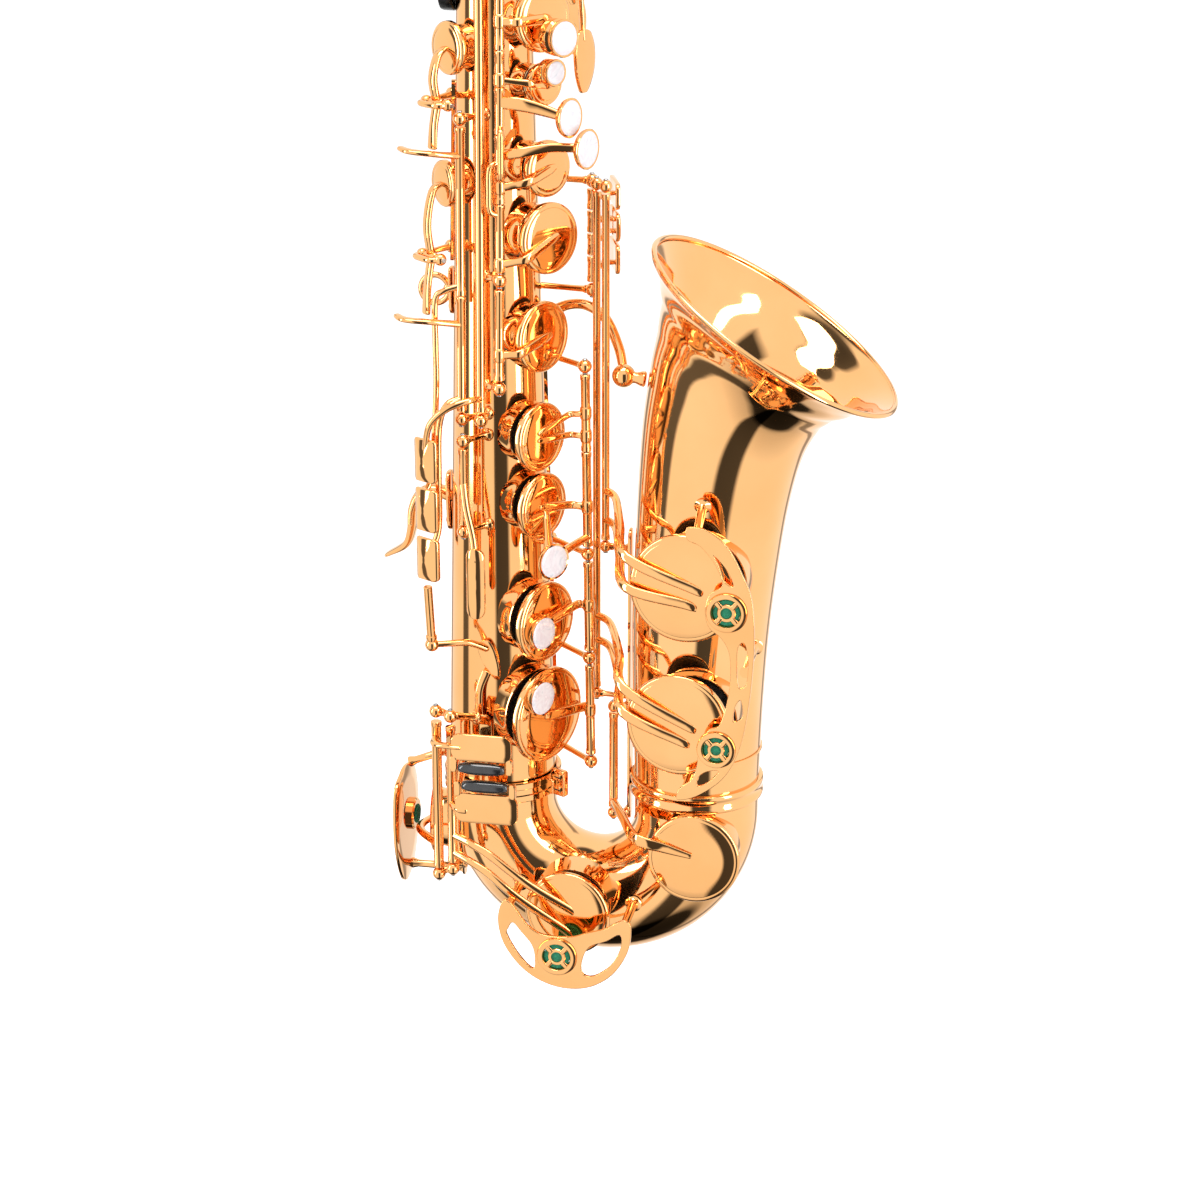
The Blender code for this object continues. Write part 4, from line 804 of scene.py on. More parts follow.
def look_fittings():
    s = Shape()
    band = (
        (24.3, -4.5), (25.4, -4.5), (25.8, -4.1), (25.8, -1.6), (25.3, -1.2), (25.3, 1.2), (25.8, 1.6),
        (25.8, 4.1), (25.4, 4.5), (24.3, 4.5)
    )
    lathe(s, band, (0, 0, 79), UP, None, 96, closed=True)
    plate(
        s, rounded(8, 12, 1.2), 2.6, (28.4, -14.5, 82.5), (0.86, -0.5, 0), Vector((-0.5, -0.86, 0)),
        soft=0.4
    )
    plate(
        s, rounded(6, 7, 1.0), 5.0, (24.6, -12.6, 80.5), (0.86, -0.5, 0), Vector((-0.5, -0.86, 0)),
        soft=0.4
    )
    out = Vector((-0.5, -0.86, 0))
    # each clamp screw gets a turned head and a thin dark strip across it, which is painted shade for
    # its slot
    for dz in (-2.9, 2.9):
        screw_head(s, Vector((28.9, -14.8, 82.5 + dz)) + out * 1.2, out, 2.0)
        plate(
            s, rounded(3.4, 0.6, 0.2, 2), 0.2, Vector((28.9, -14.8, 82.5 + dz)) + out * 2.2,
            (0.86, -0.5, 0), out, PAD_LEATHER_AND_SHADE, soft=0.05
        )
    make("bow_clamp_ring", s, "body")

    s = Shape()
    profile = (
        (12.5, 0), (15.4, 0), (15.8, 0.4), (15.8, 3.3), (15.4, 3.7), (14.6, 3.9), (14.6, 18.6),
        (15.0, 19.0), (15.0, 19.5), (14.6, 19.7), (12.5, 19.7)
    )
    lathe(s, profile, (0, 0, 528.3), UP, None, 72, closed=True)
    for x in (-2.6, 2.6):
        plate(s, rounded(9, 12, 3.6), 3.8, (x, 15.5, 540), (0, 1, 0), (1, 0, 0), soft=0.5)
    rod(s, (-4.6, 17.6, 541), (-5.5, 17.6, 541), 2.4)
    make("neck_receiver", s, "body")
    s = Shape()
    rod(s, (-5.9, 17.6, 541), (7.5, 17.6, 541), 1.25, STEEL)
    rod(s, (7.4, 17.6, 541), (9.8, 17.6, 541), 2.6)
    plate(s, rounded(11, 8, 3.8), 2.2, (13.2, 17.6, 541), (1, 0, 0), (0, 1, 0), soft=0.7)
    make("neck_screw", s, sharp=50)

    s = Shape()
    x = -(body_radius(296) + 1.1)
    plate(s, rounded(9, 20, 3.5), 1.4, (x, 0, 296), (0, 1, 0), (-1, 0, -BODY_TAPER))
    bar(s, ((x, 0, 296), (x - 1.9, 0, 296)), 1.6, 2.4, up=(0, 0, 1), square=3)
    for dz in (-7, 7):
        screw_head(s, (x - 0.6, 0, 296 + dz), (-1, 0, 0), 1.5)
    ring = [
        (6.0 + 1.35 * math.cos(math.tau * i / 14), 1.35 * math.sin(math.tau * i / 14))
        for i in range(14)
    ]
    lathe(s, ring, STRAP, (0, 1, 0), None, 56, closed=True)
    make("strap_ring", s, "body")

    s = Shape()
    plate(s, rounded(10, 26, 4), 1.6, (-21.8, 0, 204), (0, 1, 0), (-1, 0, -BODY_TAPER))
    points = (
        (-21.8, 0, 206), (-29, 0, 208), (-35, 0, 205.5), (-38.2, 0, 199),
        (-39, 0, 190), (-41.5, 0, 183), (-48.5, 0, 178.5),
    )
    bar(s, points, [2.8, 2.7, 2.4, 2.1, 1.9, 1.7, 1.1], [3.6, 3.8, 4.2, 4.8, 5.2, 5.4, 4.2],
        up=(0, 1, 0.001), square=2.4, steps=8)
    for dz in (-9, 9):
        screw_head(s, (-22.6, 0, 204 + dz), (-1, 0, 0), 1.9)
    make("thumb_hook", s, "body")

    s = Shape()
    r = body_radius(421)
    lathe(s, (
        (0, 0), (9.2, 0), (9.6, 0.5), (9.5, 4.6), (9.1, 5.7), (8.0, 6.1), (0, 6.1)
    ), (-(r + 0.35), 0, 421), (-1, 0, 0), RESIN, 56)
    make("thumb_rest", s, "body")

    s = Shape()
    rib(s, 38, 274, 288, 8.0, 1.3)
    points = (
        (15.4, 12.4, 281), (21, 12.8, 285.5), (28, 12.4, 288.8), (36, 11.2, 289), (44, 10, 284),
        (50, 7, 273), (53, 2, 265)
    )
    bar(s, points, [3.2, 2.5, 2.2, 2.2, 2.2, 2.2, 2.0], sides=24)
    ball(s, (53.6, 0, 262.5), 5.0)
    profile = (
        (2.2, 0), (3.2, 1.2), (2.6, 3.0), (2.4, 5.0), (3.2, 7.2), (3.4, 8.6), (2.6, 9.2), (0, 9.3)
    )
    lathe(s, profile, (54, 0, 262.4), (9, 0, -1), None, 32)
    make("bell_brace", s, "body")


# ---------------------------------------------------------------- neck and mouthpiece

def look_neck():
    s = Shape()
    lathe(s, ((0, 0), (11.6, 0), (11.7, 0.3), (11.7, 17), (0, 17)), (0, 0, 532), UP, STEEL, 64)
    path = (
        (0, 0, 549, 11.5), (-0.2, 0, 557, 11.4), (-1.4, 0, 568, 11.15), (-7, 0, 583, 10.8),
        (-19, 0, 596, 10.2), (-36, 0, 603, 9.5), (-58, 0, 604.5, 8.8), (-84, 0, 600, 8.0),
        (-110, 0, 592.5, 7.2), (-146, 0, 580, 6.4),
    )
    bar(s, [p[:3] for p in path], [p[3] for p in path], sides=56, steps=9, up=(0, 1, 0), ends=False)
    lathe(s, (
        (11.0, 0), (12.9, 0), (13.2, 0.4), (13.2, 1.8), (12.6, 2.4), (12.9, 3.0), (12.7, 4.2),
        (11.2, 4.5)
    ), (0, 0, 548.6), UP, None, 72, closed=True)
    lathe(s, (
        (0, -4), (2.4, -4), (2.2, 2), (2.2, 10), (1.7, 10.4), (0, 10.4)
    ), (-40, 0, 606), UP, None, 28)
    post(s, (-58, 0, 612.8), (-58, 0, 614.2), 1.6, 2.0, (0, 1, 0), False)
    plate(s, rounded(9, 5.4, 2.2), 2.4, (-58, 0, 613.8), (1, 0, -0.02), (0, 0, 1))
    bar(
        s, ((-84, 0, 592.2), (-60, 0, 594.6), (-38, 0, 592.4), (-26, 0, 585)), [1.4, 1.8, 1.8, 1.2],
        [1.6, 2.2, 2.2, 1.4], up=(0, 1, 0), square=2.6
    )
    make("neck_tube", s, "neck")

    s = Shape()
    a, b = Vector((-104, 0, 594.3)), Vector((-146, 0, 580))
    axis = (b - a).normalized()
    long = (b - a).length
    lathe(s, (
        (7.3, 0), (8.0, 0.1), (8.15, 0.8), (7.55, long - 0.8), (7.3, long), (6.6, long)
    ), a, axis, CORK, 56, closed=True)
    make("neck_cork", s, "neck")
    lead = b - axis * 16
    look_mouthpiece(lead, axis)

    s = Shape()
    pivot = Vector((-58, 0, 618.6))
    rod(s, pivot - Vector((0, 5, 0)), pivot + Vector((0, 5, 0)), 2.0)
    bar(
        s, (pivot, (-50, 0, 620.9), (-44, 0, 621.0), (-38, 0, 620.4)), [1.6, 1.8, 2.2, 1.6],
        [1.2, 1.0, 1.0, 0.7], up=UP, square=2.5
    )
    lathe(s, (
        (0, 0.6), (2.9, 0.6), (3.6, 1.0), (3.7, 3.6), (3.2, 4.4), (0, 4.6)
    ), (-40, 0, 616.8), UP, None, 40)
    lathe(s, ((0, 0.1), (2.8, 0.1), (3.1, 0.5), (3.1, 1.2), (0, 1.2)), (-40, 0, 616.8), UP, CORK, 32)
    half = (
        (-52, 13, 612), (-38, 15, 600), (-20, 16.5, 585), (-8, 17, 570), (-7, 16, 560),
        (-10, 13.5, 555), (-14.5, 8, 553.8)
    )
    loop = [pivot + Vector((0, 3.5, 0)), (-56, 9.5, 615.6), *half, (-16.8, 0, 553.5)]
    loop += [(x, -y, z) for x, y, z in reversed(half)] + [
        (-56, -9.5, 615.6), pivot - Vector((0, 3.5, 0))
    ]
    bar(s, loop, 1.5, sides=20, steps=6)
    make("neck_octave_key", s)


def look_mouthpiece(start, axis):
    side = Vector((0, 1, 0))
    up = axis.cross(side).normalized()
    up = -up if up.z < 0 else up
    s = Shape()
    n = count(64)
    outer = (
        (0, 8.4), (0, 12.2), (0.5, 12.6), (2, 12.9), (7.5, 12.9), (8.6, 12.5), (9.2, 12.0), (11, 12.0),
        (40, 11.2), (60, 10.8), (66, 10.7), (72, 10.6), (78, 10.5), (84, 10.3), (88.2, 10.0), (89, 9.6)
    )
    rings = []
    for along, r in outer:
        top = r if along < 61 else min(r, 10.9 - 0.50 * (along - 61) + 0.0012 * (along - 61) ** 2)
        floor = r if along < 33 else 7.6
        ring = []
        for k in range(n):
            a = math.tau * k / n
            y = math.cos(a) * r * (1.0 if along < 61 else 1 - 0.0042 * (along - 61))
            h = max(-floor, min(top, math.sin(a) * r))
            ring.append(start + axis * along + side * y + up * h)
        rings.append(ring)
    loft(s, rings, EBONITE)
    lathe(s, (
        (8.5, -0.05), (12.4, -0.05), (12.7, 0.4), (12.95, 1.0), (12.95, 3.0), (12.5, 3.2)
    ), start, axis, LACQUER, 64)
    make("mouthpiece", s)

    s = Shape()
    rings = []
    for along, half, thick in (
        (36.4, 5.6, 2.9), (38, 6.0, 3.0), (52, 6.4, 3.0), (62, 6.8, 2.8), (66, 7.0, 2.0),
        (74, 7.2, 1.2), (84, 7.3, 0.55), (86, 6.6, 0.45), (86.8, 4.6, 0.4)
    ):
        ring = []
        for k in range(9):
            x = -1 + 2 * k / 8
            ring.append(
                start + axis * along + side * (x * half) - up * (8.0 + thick * (1 - 0.35 * x * x))
            )
        for k in range(9):
            x = 1 - 2 * k / 8
            ring.append(start + axis * along + side * (x * half) - up * 8.0)
        rings.append(ring)
    loft(s, rings, CANE)
    make("reed", s, "mouthpiece", sharp=30)

    s = Shape()
    mid = start + axis * 46
    lathe(s, (
        (12.7, -10), (13.7, -10), (14.0, -9.6), (14.0, -7.6), (13.6, -7.2), (13.6, -1.2), (14.0, -0.8),
        (14.0, 0.8), (13.6, 1.2), (13.6, 7.2), (14.0, 7.6), (14.0, 9.6), (13.7, 10), (12.7, 10)
    ), mid, axis, None, 72, closed=True)
    for step in (-5, 5):
        at = mid + axis * step - up * 15.5
        rod(s, at - side * 9, at + side * 12, 1.3, STEEL)
        rod(s, at + side * 11.5, at + side * 15, 3.3)
        ball(s, at + side * 15.2, 1.6)
        for shift in (-4, 5):
            bar(s, (at + side * (shift - 1.8), at + side * (shift + 1.8)), 2.4, 2.6, up=up)
            bar(s, (at + side * shift, at + side * shift + up * 3), 1.6, 2.2, up=axis)
    make("ligature", s, "mouthpiece")


# ---------------------------------------------------------------- ribs and posts

def look_ribs():
    s = Shape()
    rib(s, -90, 196, 503)
    heads = (
        (HIGH_FS_LINE, 201, 201, -1), (HIGH_FS_LINE, 240, 240, 1), (UPPER_LINE, 307, 307, -1),
        (UPPER_LINE, 468.5, 466, 1), (GSHARP_LINE, 262, 261, -1), (SIDE_LINE, 248, 249, -1),
        (SIDE_LINE, 372, 373, 1), (HIGH_E_LINE, 248, 249, -1), (HIGH_E_LINE, 498, 498, 1),
    )
    for hinge, at, z, way in heads:
        post(s, rib_point(-90, z), on_line(hinge, at), hinge_dir=(hinge[1] - hinge[0]) * way)
    make("main_rib", s, "body")
    s = Shape()
    rod(s, on_line(UPPER_LINE, 305.5), on_line(UPPER_LINE, 470), 1.0, STEEL)
    make("upper_stack_rod", s, "body")

    s = Shape()
    rib(s, 25, 88, 272)
    for z, way in ((268, 1), (186, 1), (139, 1), (91, -1)):
        post(s, rib_point(25, z), on_line(LOWER_LINE, z), hinge_dir=(0, 0, way), slot=z in (268, 91))
    make("lower_stack_rib", s, "body")
    s = Shape()
    rod(s, on_line(LOWER_LINE, 89.5), on_line(LOWER_LINE, 269.5), 1.0, STEEL)
    make("lower_stack_rod", s, "body")

    s = Shape()
    rib(s, 50, 290, 347)
    for z, way in ((296, -1), (342, 1)):
        post(s, rib_point(50, z), on_line(TABLE_LINE, z), hinge_dir=(0, 0, way))
    for hinge in (BB_LINE, B_LINE):
        bar(s, (on_line(TABLE_LINE, 342), on_line(hinge, 342)), 1.4)
        ball(s, on_line(hinge, 342), 2.7)
        rod(s, on_line(hinge, 344.2), on_line(hinge, 345), 1.0, STEEL, 0.15)
    make("table_rib", s, "body")

    s = Shape()
    plate(s, rounded(8, 134, 3.9), 1.2, (56.9, 0, 129), (0, 1, 0), (-1, 0, 0))
    for hinge, z, way in ((BB_LINE, 187, -1), (B_LINE, 118, -1), (CS_LINE, 66, -1), (CS_LINE, 116, 1)):
        head = on_line(hinge, z)
        post(s, (56.5, head.y * 0.5, head.z), head, 1.3, 2.6, (0, 0, way))
    make("bell_key_posts", s, "body")

    s = Shape()
    plate(s, rounded(14, 20, 3.5), 1.4, (-6, -25.2, 106), (1, 0, 0), (0, -1, 0))
    bar(s, (
        (-8, -25.4, 104), (-9.5, -26.2, 99), (-12, -29.0, 90), (-13, -29.5, 75), (-13, -29.5, 60),
        (-12, -29.5, 46)
    ), [2.6, 2.4, 2.0, 1.8, 1.8, 2.4], [1.2, 1.2, 1.3, 1.4, 1.4, 1.3], up=(0, -1, 0), square=2.6)
    post(s, (-6, -25.6, 114), on_line(EB_LINE, 120), hinge_dir=(0, 0, 1))
    post(s, (-6, -25.6, 114.4), on_line(C_LINE, 120), hinge_dir=(0, 0, 1))
    post(s, (-12.5, -29.8, 48), on_line(EB_LINE, 44), hinge_dir=(0, 0, -1))
    post(s, (-12.2, -29.8, 49), on_line(C_LINE, 49), hinge_dir=(0, 0, -1))
    drop = smooth_outline((
        (-3.6, 5.0), (-3.2, -2), (-1.6, -8.0), (0, -9.4), (1.6, -8.0), (3.2, -2), (3.6, 5.0),
        (2.4, 8.6), (0, 9.2), (-2.4, 8.6)
    ))
    plate(s, drop, 1.4, (0.4, -23.2, 140.5), (19, 0, 7), (0, -1, 0), soft=0.5, crown=0.6)
    bar(s, (
        (-4.5, -25.0, 113), (-4.5, -24.3, 126), (-1.5, -23.6, 135)
    ), [2.2, 1.8, 2.0], [0.9, 0.8, 0.8], up=(0, -1, 0))
    bar(s, (
        (-1.5, -23.8, 146), (-8, -28, 149.5), (-15, -31.6, 150), TOUCH_POST
    ), [2.0, 1.8, 1.6, 1.5], [1.6, 1.4, 1.4, 1.4], up=UP)
    ball(s, TOUCH_POST, 3.0)
    rod(s, TOUCH_POST, (-23.0, -37.2, 177), 1.9)
    lathe(
        s, ((0, 0), (2.3, 0), (2.4, 0.3), (2.4, 1.6), (2.0, 2.0), (0, 2.0)),
        TOUCH_POST + Vector((-0.05, -0.26, 2.6)), (-0.6, -2.7, 27), None, 28
    )
    make("low_key_posts", s, "body")

    s = Shape()
    rib(s, 68, 428, 518)
    for hinge in PALM_LINES.values():
        for end, way in zip(hinge, (-1, 1)):
            post(s, rib_point(68, min(max(end.z, 430), 516)), end, 1.3, 2.4, (0, 0, way))
    make("palm_rib", s, "body")

    s = Shape()
    rib(s, 150, 433, 503)
    for end, way in zip(OCTAVE_LINE, (-1, 1)):
        post(s, rib_point(150, end.z), end, 1.2, 2.4, (0, 0, way))
    make("octave_rib", s, "body")

    s = Shape()
    rib(s, -172, 309, 384)
    for name in ROCKERS:
        z = ROCKERS[name][0]
        centre, out, across = rocker_axis(name)
        back, front = centre - across * 6.6, centre + across * 6.6
        post(s, rib_point(-172, z), back, 1.4, 2.6, -across)
        bar(s, (
            back, back + out * 4.2 + across * 1.2, centre + out * 5.0, front + out * 4.2 - across * 1.2,
            front
        ), 1.3)
        ball(s, front, 2.6, across)
        rod(s, front + across * 2.2, front + across * 3.0, 1.0, STEEL, 0.15)
    make("side_rib", s, "body")


def bumper(s, x, y, z, r_out, r_in):
    """Adjustable felt bumper: a turned ring with four spokes over a green felt."""
    ring = (
        (r_in, -1.6), (r_out - 0.7, -1.6), (r_out, -1.0), (r_out, 1.2), (r_out - 0.4, 1.9),
        (r_out - 1.2, 2.2), (r_in + 0.4, 2.0), (r_in, 1.4),
    )
    lathe(s, ring, (x, y, z), (0, -1, 0), None, 56, closed=True)
    lathe(s, (
        (0, -3.4), (r_in - 0.3, -3.4), (r_in - 0.2, -2.6), (r_in - 0.2, 0.9), (r_in - 0.8, 1.2),
        (0, 1.3)
    ), (x, y, z), (0, -1, 0), FELT, 40)
    for k in range(4):
        a = math.radians(45 + 90 * k)
        d = Vector((math.cos(a), 0, math.sin(a)))
        c = Vector((x, y - 1.5, z))
        bar(s, (c + d * (r_in * 0.55), c + d * (r_in + 0.8)), 1.1, 0.45, up=(0, 1, 0), square=3)
    lathe(s, (
        (r_in * 0.42, 0), (r_in * 0.62, 0), (r_in * 0.66, 0.3), (r_in * 0.62, 0.6), (r_in * 0.42, 0.6)
    ), (x, y - 1.2, z), (0, -1, 0), None, 28, closed=True)


def guard_leg(s, foot, head, base, waist):
    """Turned leg from the tube to the back of a guard plate."""
    foot, head = Vector(foot), Vector(head)
    long = (head - foot).length
    profile = (
        (0, 0), (base, 0), (base + 0.2, 0.8), (base - 0.8, 1.6), (waist, 3.5), (waist - 0.1, long - 3),
        (2.4, long - 0.6), (2.4, long), (0, long),
    )
    lathe(s, profile, foot, head - foot, None, 28)


def look_guards():
    s = Shape()
    outline = smooth_outline((
        (90, 214.5), (98, 213.5), (106, 207), (112, 196), (116, 186), (117.5, 172), (117.3, 156),
        (115.5, 136), (112, 118), (105.5, 105.5), (95, 97), (87, 94.5), (86.0, 97.0), (87.5, 100.0),
        (92.5, 104.5), (94.6, 112), (95.4, 121), (99.5, 127), (104, 130), (107.5, 145), (107.5, 160),
        (104, 167.5), (98.8, 172), (97.0, 179), (99.0, 186.5), (104, 190.5), (101, 199), (95, 206.5),
        (90, 208.8), (88.6, 211.5),
    ))
    holes = [
        round_hole(106.0, 179.0, 6.0), round_hole(102.5, 118.5, 5.6),
        smooth_outline((
            (113.6, 166), (115.2, 158), (114.4, 148), (111.4, 147), (110.6, 156), (111, 164)
        ), 4),
        smooth_outline(((112.6, 141), (113.2, 134), (109.6, 131.5), (110.2, 138)), 4),
        smooth_outline((
            (100.5, 203.0), (106.0, 197.0), (108.6, 190.4), (104.6, 192.6), (102.8, 198)
        ), 4),
        smooth_outline(((98.8, 108.2), (103.6, 108.8), (99.2, 103.4), (94.8, 101.6), (95.4, 105.6)), 4),
    ]
    cut_plate(s, outline, holes, 1.6, -50.6)
    bumper(s, 106.0, -50.6, 179.0, 8.6, 5.8)
    bumper(s, 102.5, -50.6, 118.5, 8.2, 5.4)
    for foot, head in (
        ((92.7, -32.0, 218), (93.2, -50.0, 211.5)), ((113.4, -18.3, 153), (113.9, -50.0, 153)),
        ((88.5, -28.9, 96.5), (88.5, -50.0, 96.5))
    ):
        guard_leg(s, foot, head, 3.4, 1.9)
    make("bell_key_guard", s, "body")

    s = Shape()
    outline = smooth_outline((
        (11.5, 42.5), (9.3, 34), (11.5, 23), (18.6, 12.6), (28, 6), (39, 3.4), (50, 5.2), (59.6, 12),
        (66, 23), (67.5, 34), (65.6, 37.8), (62, 37.0), (56, 33.2), (48, 30.4), (41, 28.0),
        (29.4, 28.0), (22.5, 31.8), (17.6, 38.5), (14.5, 42.2),
    ))
    holes = [
        round_hole(35.2, 18.5, 6.0),
        smooth_outline((
            (14.0, 30), (13.4, 26.5), (18.6, 17.4), (24.6, 11.6), (25.4, 17), (24.0, 23), (19.5, 28.6),
            (16, 32.6)
        ), 4),
        smooth_outline((
            (46.2, 11.6), (51, 10.4), (58.6, 16.2), (62.9, 25), (62.6, 31.0), (57, 27.6), (49.6, 24.2),
            (46.4, 18)
        ), 4),
    ]
    cut_plate(s, outline, holes, 1.6, -53.5)
    bumper(s, 35.2, -53.5, 18.5, 8.8, 5.8)
    for foot, head in (((13, -25.0, 38), (13, -53.0, 38)), ((63.5, -26.2, 33), (63.5, -53.0, 33))):
        guard_leg(s, foot, head, 3.4, 1.9)
    make("low_c_guard", s, "body")

    s = Shape()
    outline = smooth_outline((
        (-30, 78), (-21, 82.6), (-12, 84), (-2, 81), (4.4, 74), (7, 62), (6, 48), (-1, 36), (-10, 30.6),
        (-19, 31.6), (-27, 42), (-32, 58)
    ))
    shaped = [(y + 14, z - 57) for y, z in outline]
    plate(s, shaped, 1.6, (-41.5, -14, 57), (0, 1, 0), (1, 0, 0), soft=0.4)
    lathe(s, (
        (4.4, -2.0), (6.6, -2.0), (7.2, -1.4), (7.2, 2.4), (6.6, 3.1), (4.4, 3.1)
    ), (-41.5, -5, 58), (1, 0, 0), None, 48, closed=True)
    lathe(s, (
        (0, -1.6), (4.2, -1.6), (4.2, 3.4), (3.8, 3.8), (0, 3.8)
    ), (-41.5, -5, 58), (1, 0, 0), FELT, 40)
    for foot, head in (((-24.4, -3.5, 89), (-41.5, -3.5, 82)), ((-16.8, -3.5, 33), (-41.5, -3.5, 33))):
        guard_leg(s, foot, head, 3.2, 1.8)
    make("low_eb_guard", s, "body")


# ---------------------------------------------------------------- stack keys

def bridge(s, hinge, z, out):
    """Thin bow over the part of a hinge that another key's tube takes up."""
    rises = ((0, 1), (2, 4.6), (10, 5), (19, 4.6), (21, 1))
    bar(s, [on_line(hinge, z + along) + out * rise for along, rise in rises], 1.15)


def look_upper_stack():
    h = UPPER_LINE
    s, top, n = finger_key("key_c", 433, 464.5, 446, 1.8)
    make("key_c", s)

    s, top, n = finger_key("key_b", 400, 432.5, 411)
    at = Vector((31.5, -22.0, 405.0))
    face = around(-36, 1, 0)
    bar(s, (top + n * 0.4, top.lerp(at, 0.45) + n * 0.8, at - face * 3), [2.2, 2.4, 3.0])
    lathe(s, (
        (0, -6.4), (4.6, -6.2), (6.6, -5.2), (7.3, -4.0), (7.4, -0.6), (6.6, 0.2), (0, 0.2)
    ), at, face, None, 40)
    pearl(s, at, face, 7.6)
    make("key_b", s)

    s, top, n = finger_key("key_bis", 385.5, 399.5, 388, 1.7)
    at = Vector((27.6, -20.2, 391.0))
    face = around(-36, 1, 0)
    bar(s, (top + n * 0.4, at - face * 2), [1.9, 2.6])
    lathe(s, (
        (0, -4.6), (3.2, -4.4), (4.7, -3.4), (5.2, -2.4), (5.2, -0.4), (4.4, 0.2), (0, 0.2)
    ), at, face, None, 36)
    pearl(s, at, face, 5.5)
    make("key_bis", s)

    out, side = around(-72, 1, 0), around(-140, 1, 0)
    s, top, n = pad_key("key_a", h, OPEN_UPPER)
    hub(s, h, 338.5, 350.5)
    hub(s, h, 366.5, 385)
    cup_arm(s, "key_a", h, 345, top, n)
    at = Vector((34.0, -24.5, 374.0))
    bar(
        s, (on_line(h, 379), (15, -26.2, 379), (23, -25.6, 377.4), at), [2.4, 2.8, 2.6, 1.8],
        [1.6, 1.4, 1.4, 1.4], up=(0, -1, 0), square=2.6
    )
    bridge(s, h, 348, out)
    pearl(s, at, around(-24, 1, 0), 8.0)
    make("key_a", s)

    s, top, n = pad_key("key_g", h, OPEN_UPPER)
    hub(s, h, 310.8, 338)
    hub(s, h, 351, 366)
    cup_arm(s, "key_g", h, 313.5, top, n)
    at = Vector((40.2, -20.5, 361.0))
    bar(
        s, (on_line(h, 358), (16, -25.8, 359.4), (27, -24.6, 361.6), (35, -23, 361.6), at),
        [2.2, 2.2, 2.0, 1.9, 1.8], [1.6, 1.5, 1.4, 1.4, 1.6], up=(0, -1, 0), square=2.4
    )
    bridge(s, h, 334, side)
    pearl(s, at, around(-22, 1, 0), 8.2)
    make("key_g", s)

    h = GSHARP_LINE
    s, top, n = pad_key("key_g_sharp")
    hub(s, h, 265.6, 303.2)
    cup_arm(s, "key_g_sharp", h, 276, top, n)
    make("key_g_sharp", s)


def look_lower_stack():
    h = LOWER_LINE
    s, top, n = pad_key("key_f_sharp", h, OPEN_LOWER)
    hub(s, h, 231.5, 264.5)
    cup_arm(s, "key_f_sharp", h, 248, top + UP * 3, n, 1.5)
    cup_arm(s, "key_f_sharp", h, 238, top - UP * 1, n, 1.5)
    make("key_f_sharp", s)

    s, top, n = pad_key("key_f", h, OPEN_LOWER)
    hub(s, h, 189.6, 231)
    at, pn = Vector((28.6, -32.6, 190.5)), around(-40, 1, 0)
    cup_arm(s, "key_f", h, 207, top, n, 1.9)
    bar(s, (on_line(h, 193.5), (35, -20, 192.6), at + pn * 0.8), [1.8, 1.8, 2.2])
    bar(
        s, (at - pn * 0.6, top - UP * 6 + n * 0.6, top - n * 0.6), [2.6, 2.0, 1.4], [1.6, 1.2, 0.9],
        up=n, square=2.5
    )
    pearl(s, at, pn, 7.8)
    make("key_f", s)

    s, top, n = finger_key("key_e", 142.6, 182.4, 163, 2.1)
    pearl(s, top + around(-120, 6.5, -2.5) - n * 0.6, n, 7.8, 4.2)
    make("key_e", s)

    s, top, n = finger_key("key_d", 94.6, 135.4, 115, 2.3)
    pearl(s, top + around(-120, 8.5, 11.0) - n * 0.6, n, 8.0, 4.2)
    make("key_d", s)


# ---------------------------------------------------------------- side keys

SIDE_N, SIDE_X = around(-121, 1, 0), around(-31, 1, 0)
SIDE_PLATE = {"e": 232.5, "c": 211.0, "bb": 189.5}
ROCKERS = {"cup_side_c": (378.0, -126.0, 360.5), "cup_side_bb": (315.0, -133.0, 292.0)}


def rocker_axis(name):
    z, theta, _ = ROCKERS[name]
    out = around(theta, 1, 0)
    return around(theta, body_radius(z) + 14.5, z), out, UP.cross(out)


def side_plate(s, which):
    at = around(-121, 45.0, SIDE_PLATE[which])
    plate(s, rounded(12.4, 18.6, 1.9), 2.0, at + SIDE_N * 0.5, SIDE_X, SIDE_N, bow=0.055, soft=0.6)


def side_spot(which, across, up):
    return around(-121, 45.0, SIDE_PLATE[which]) + SIDE_X * across + UP * up


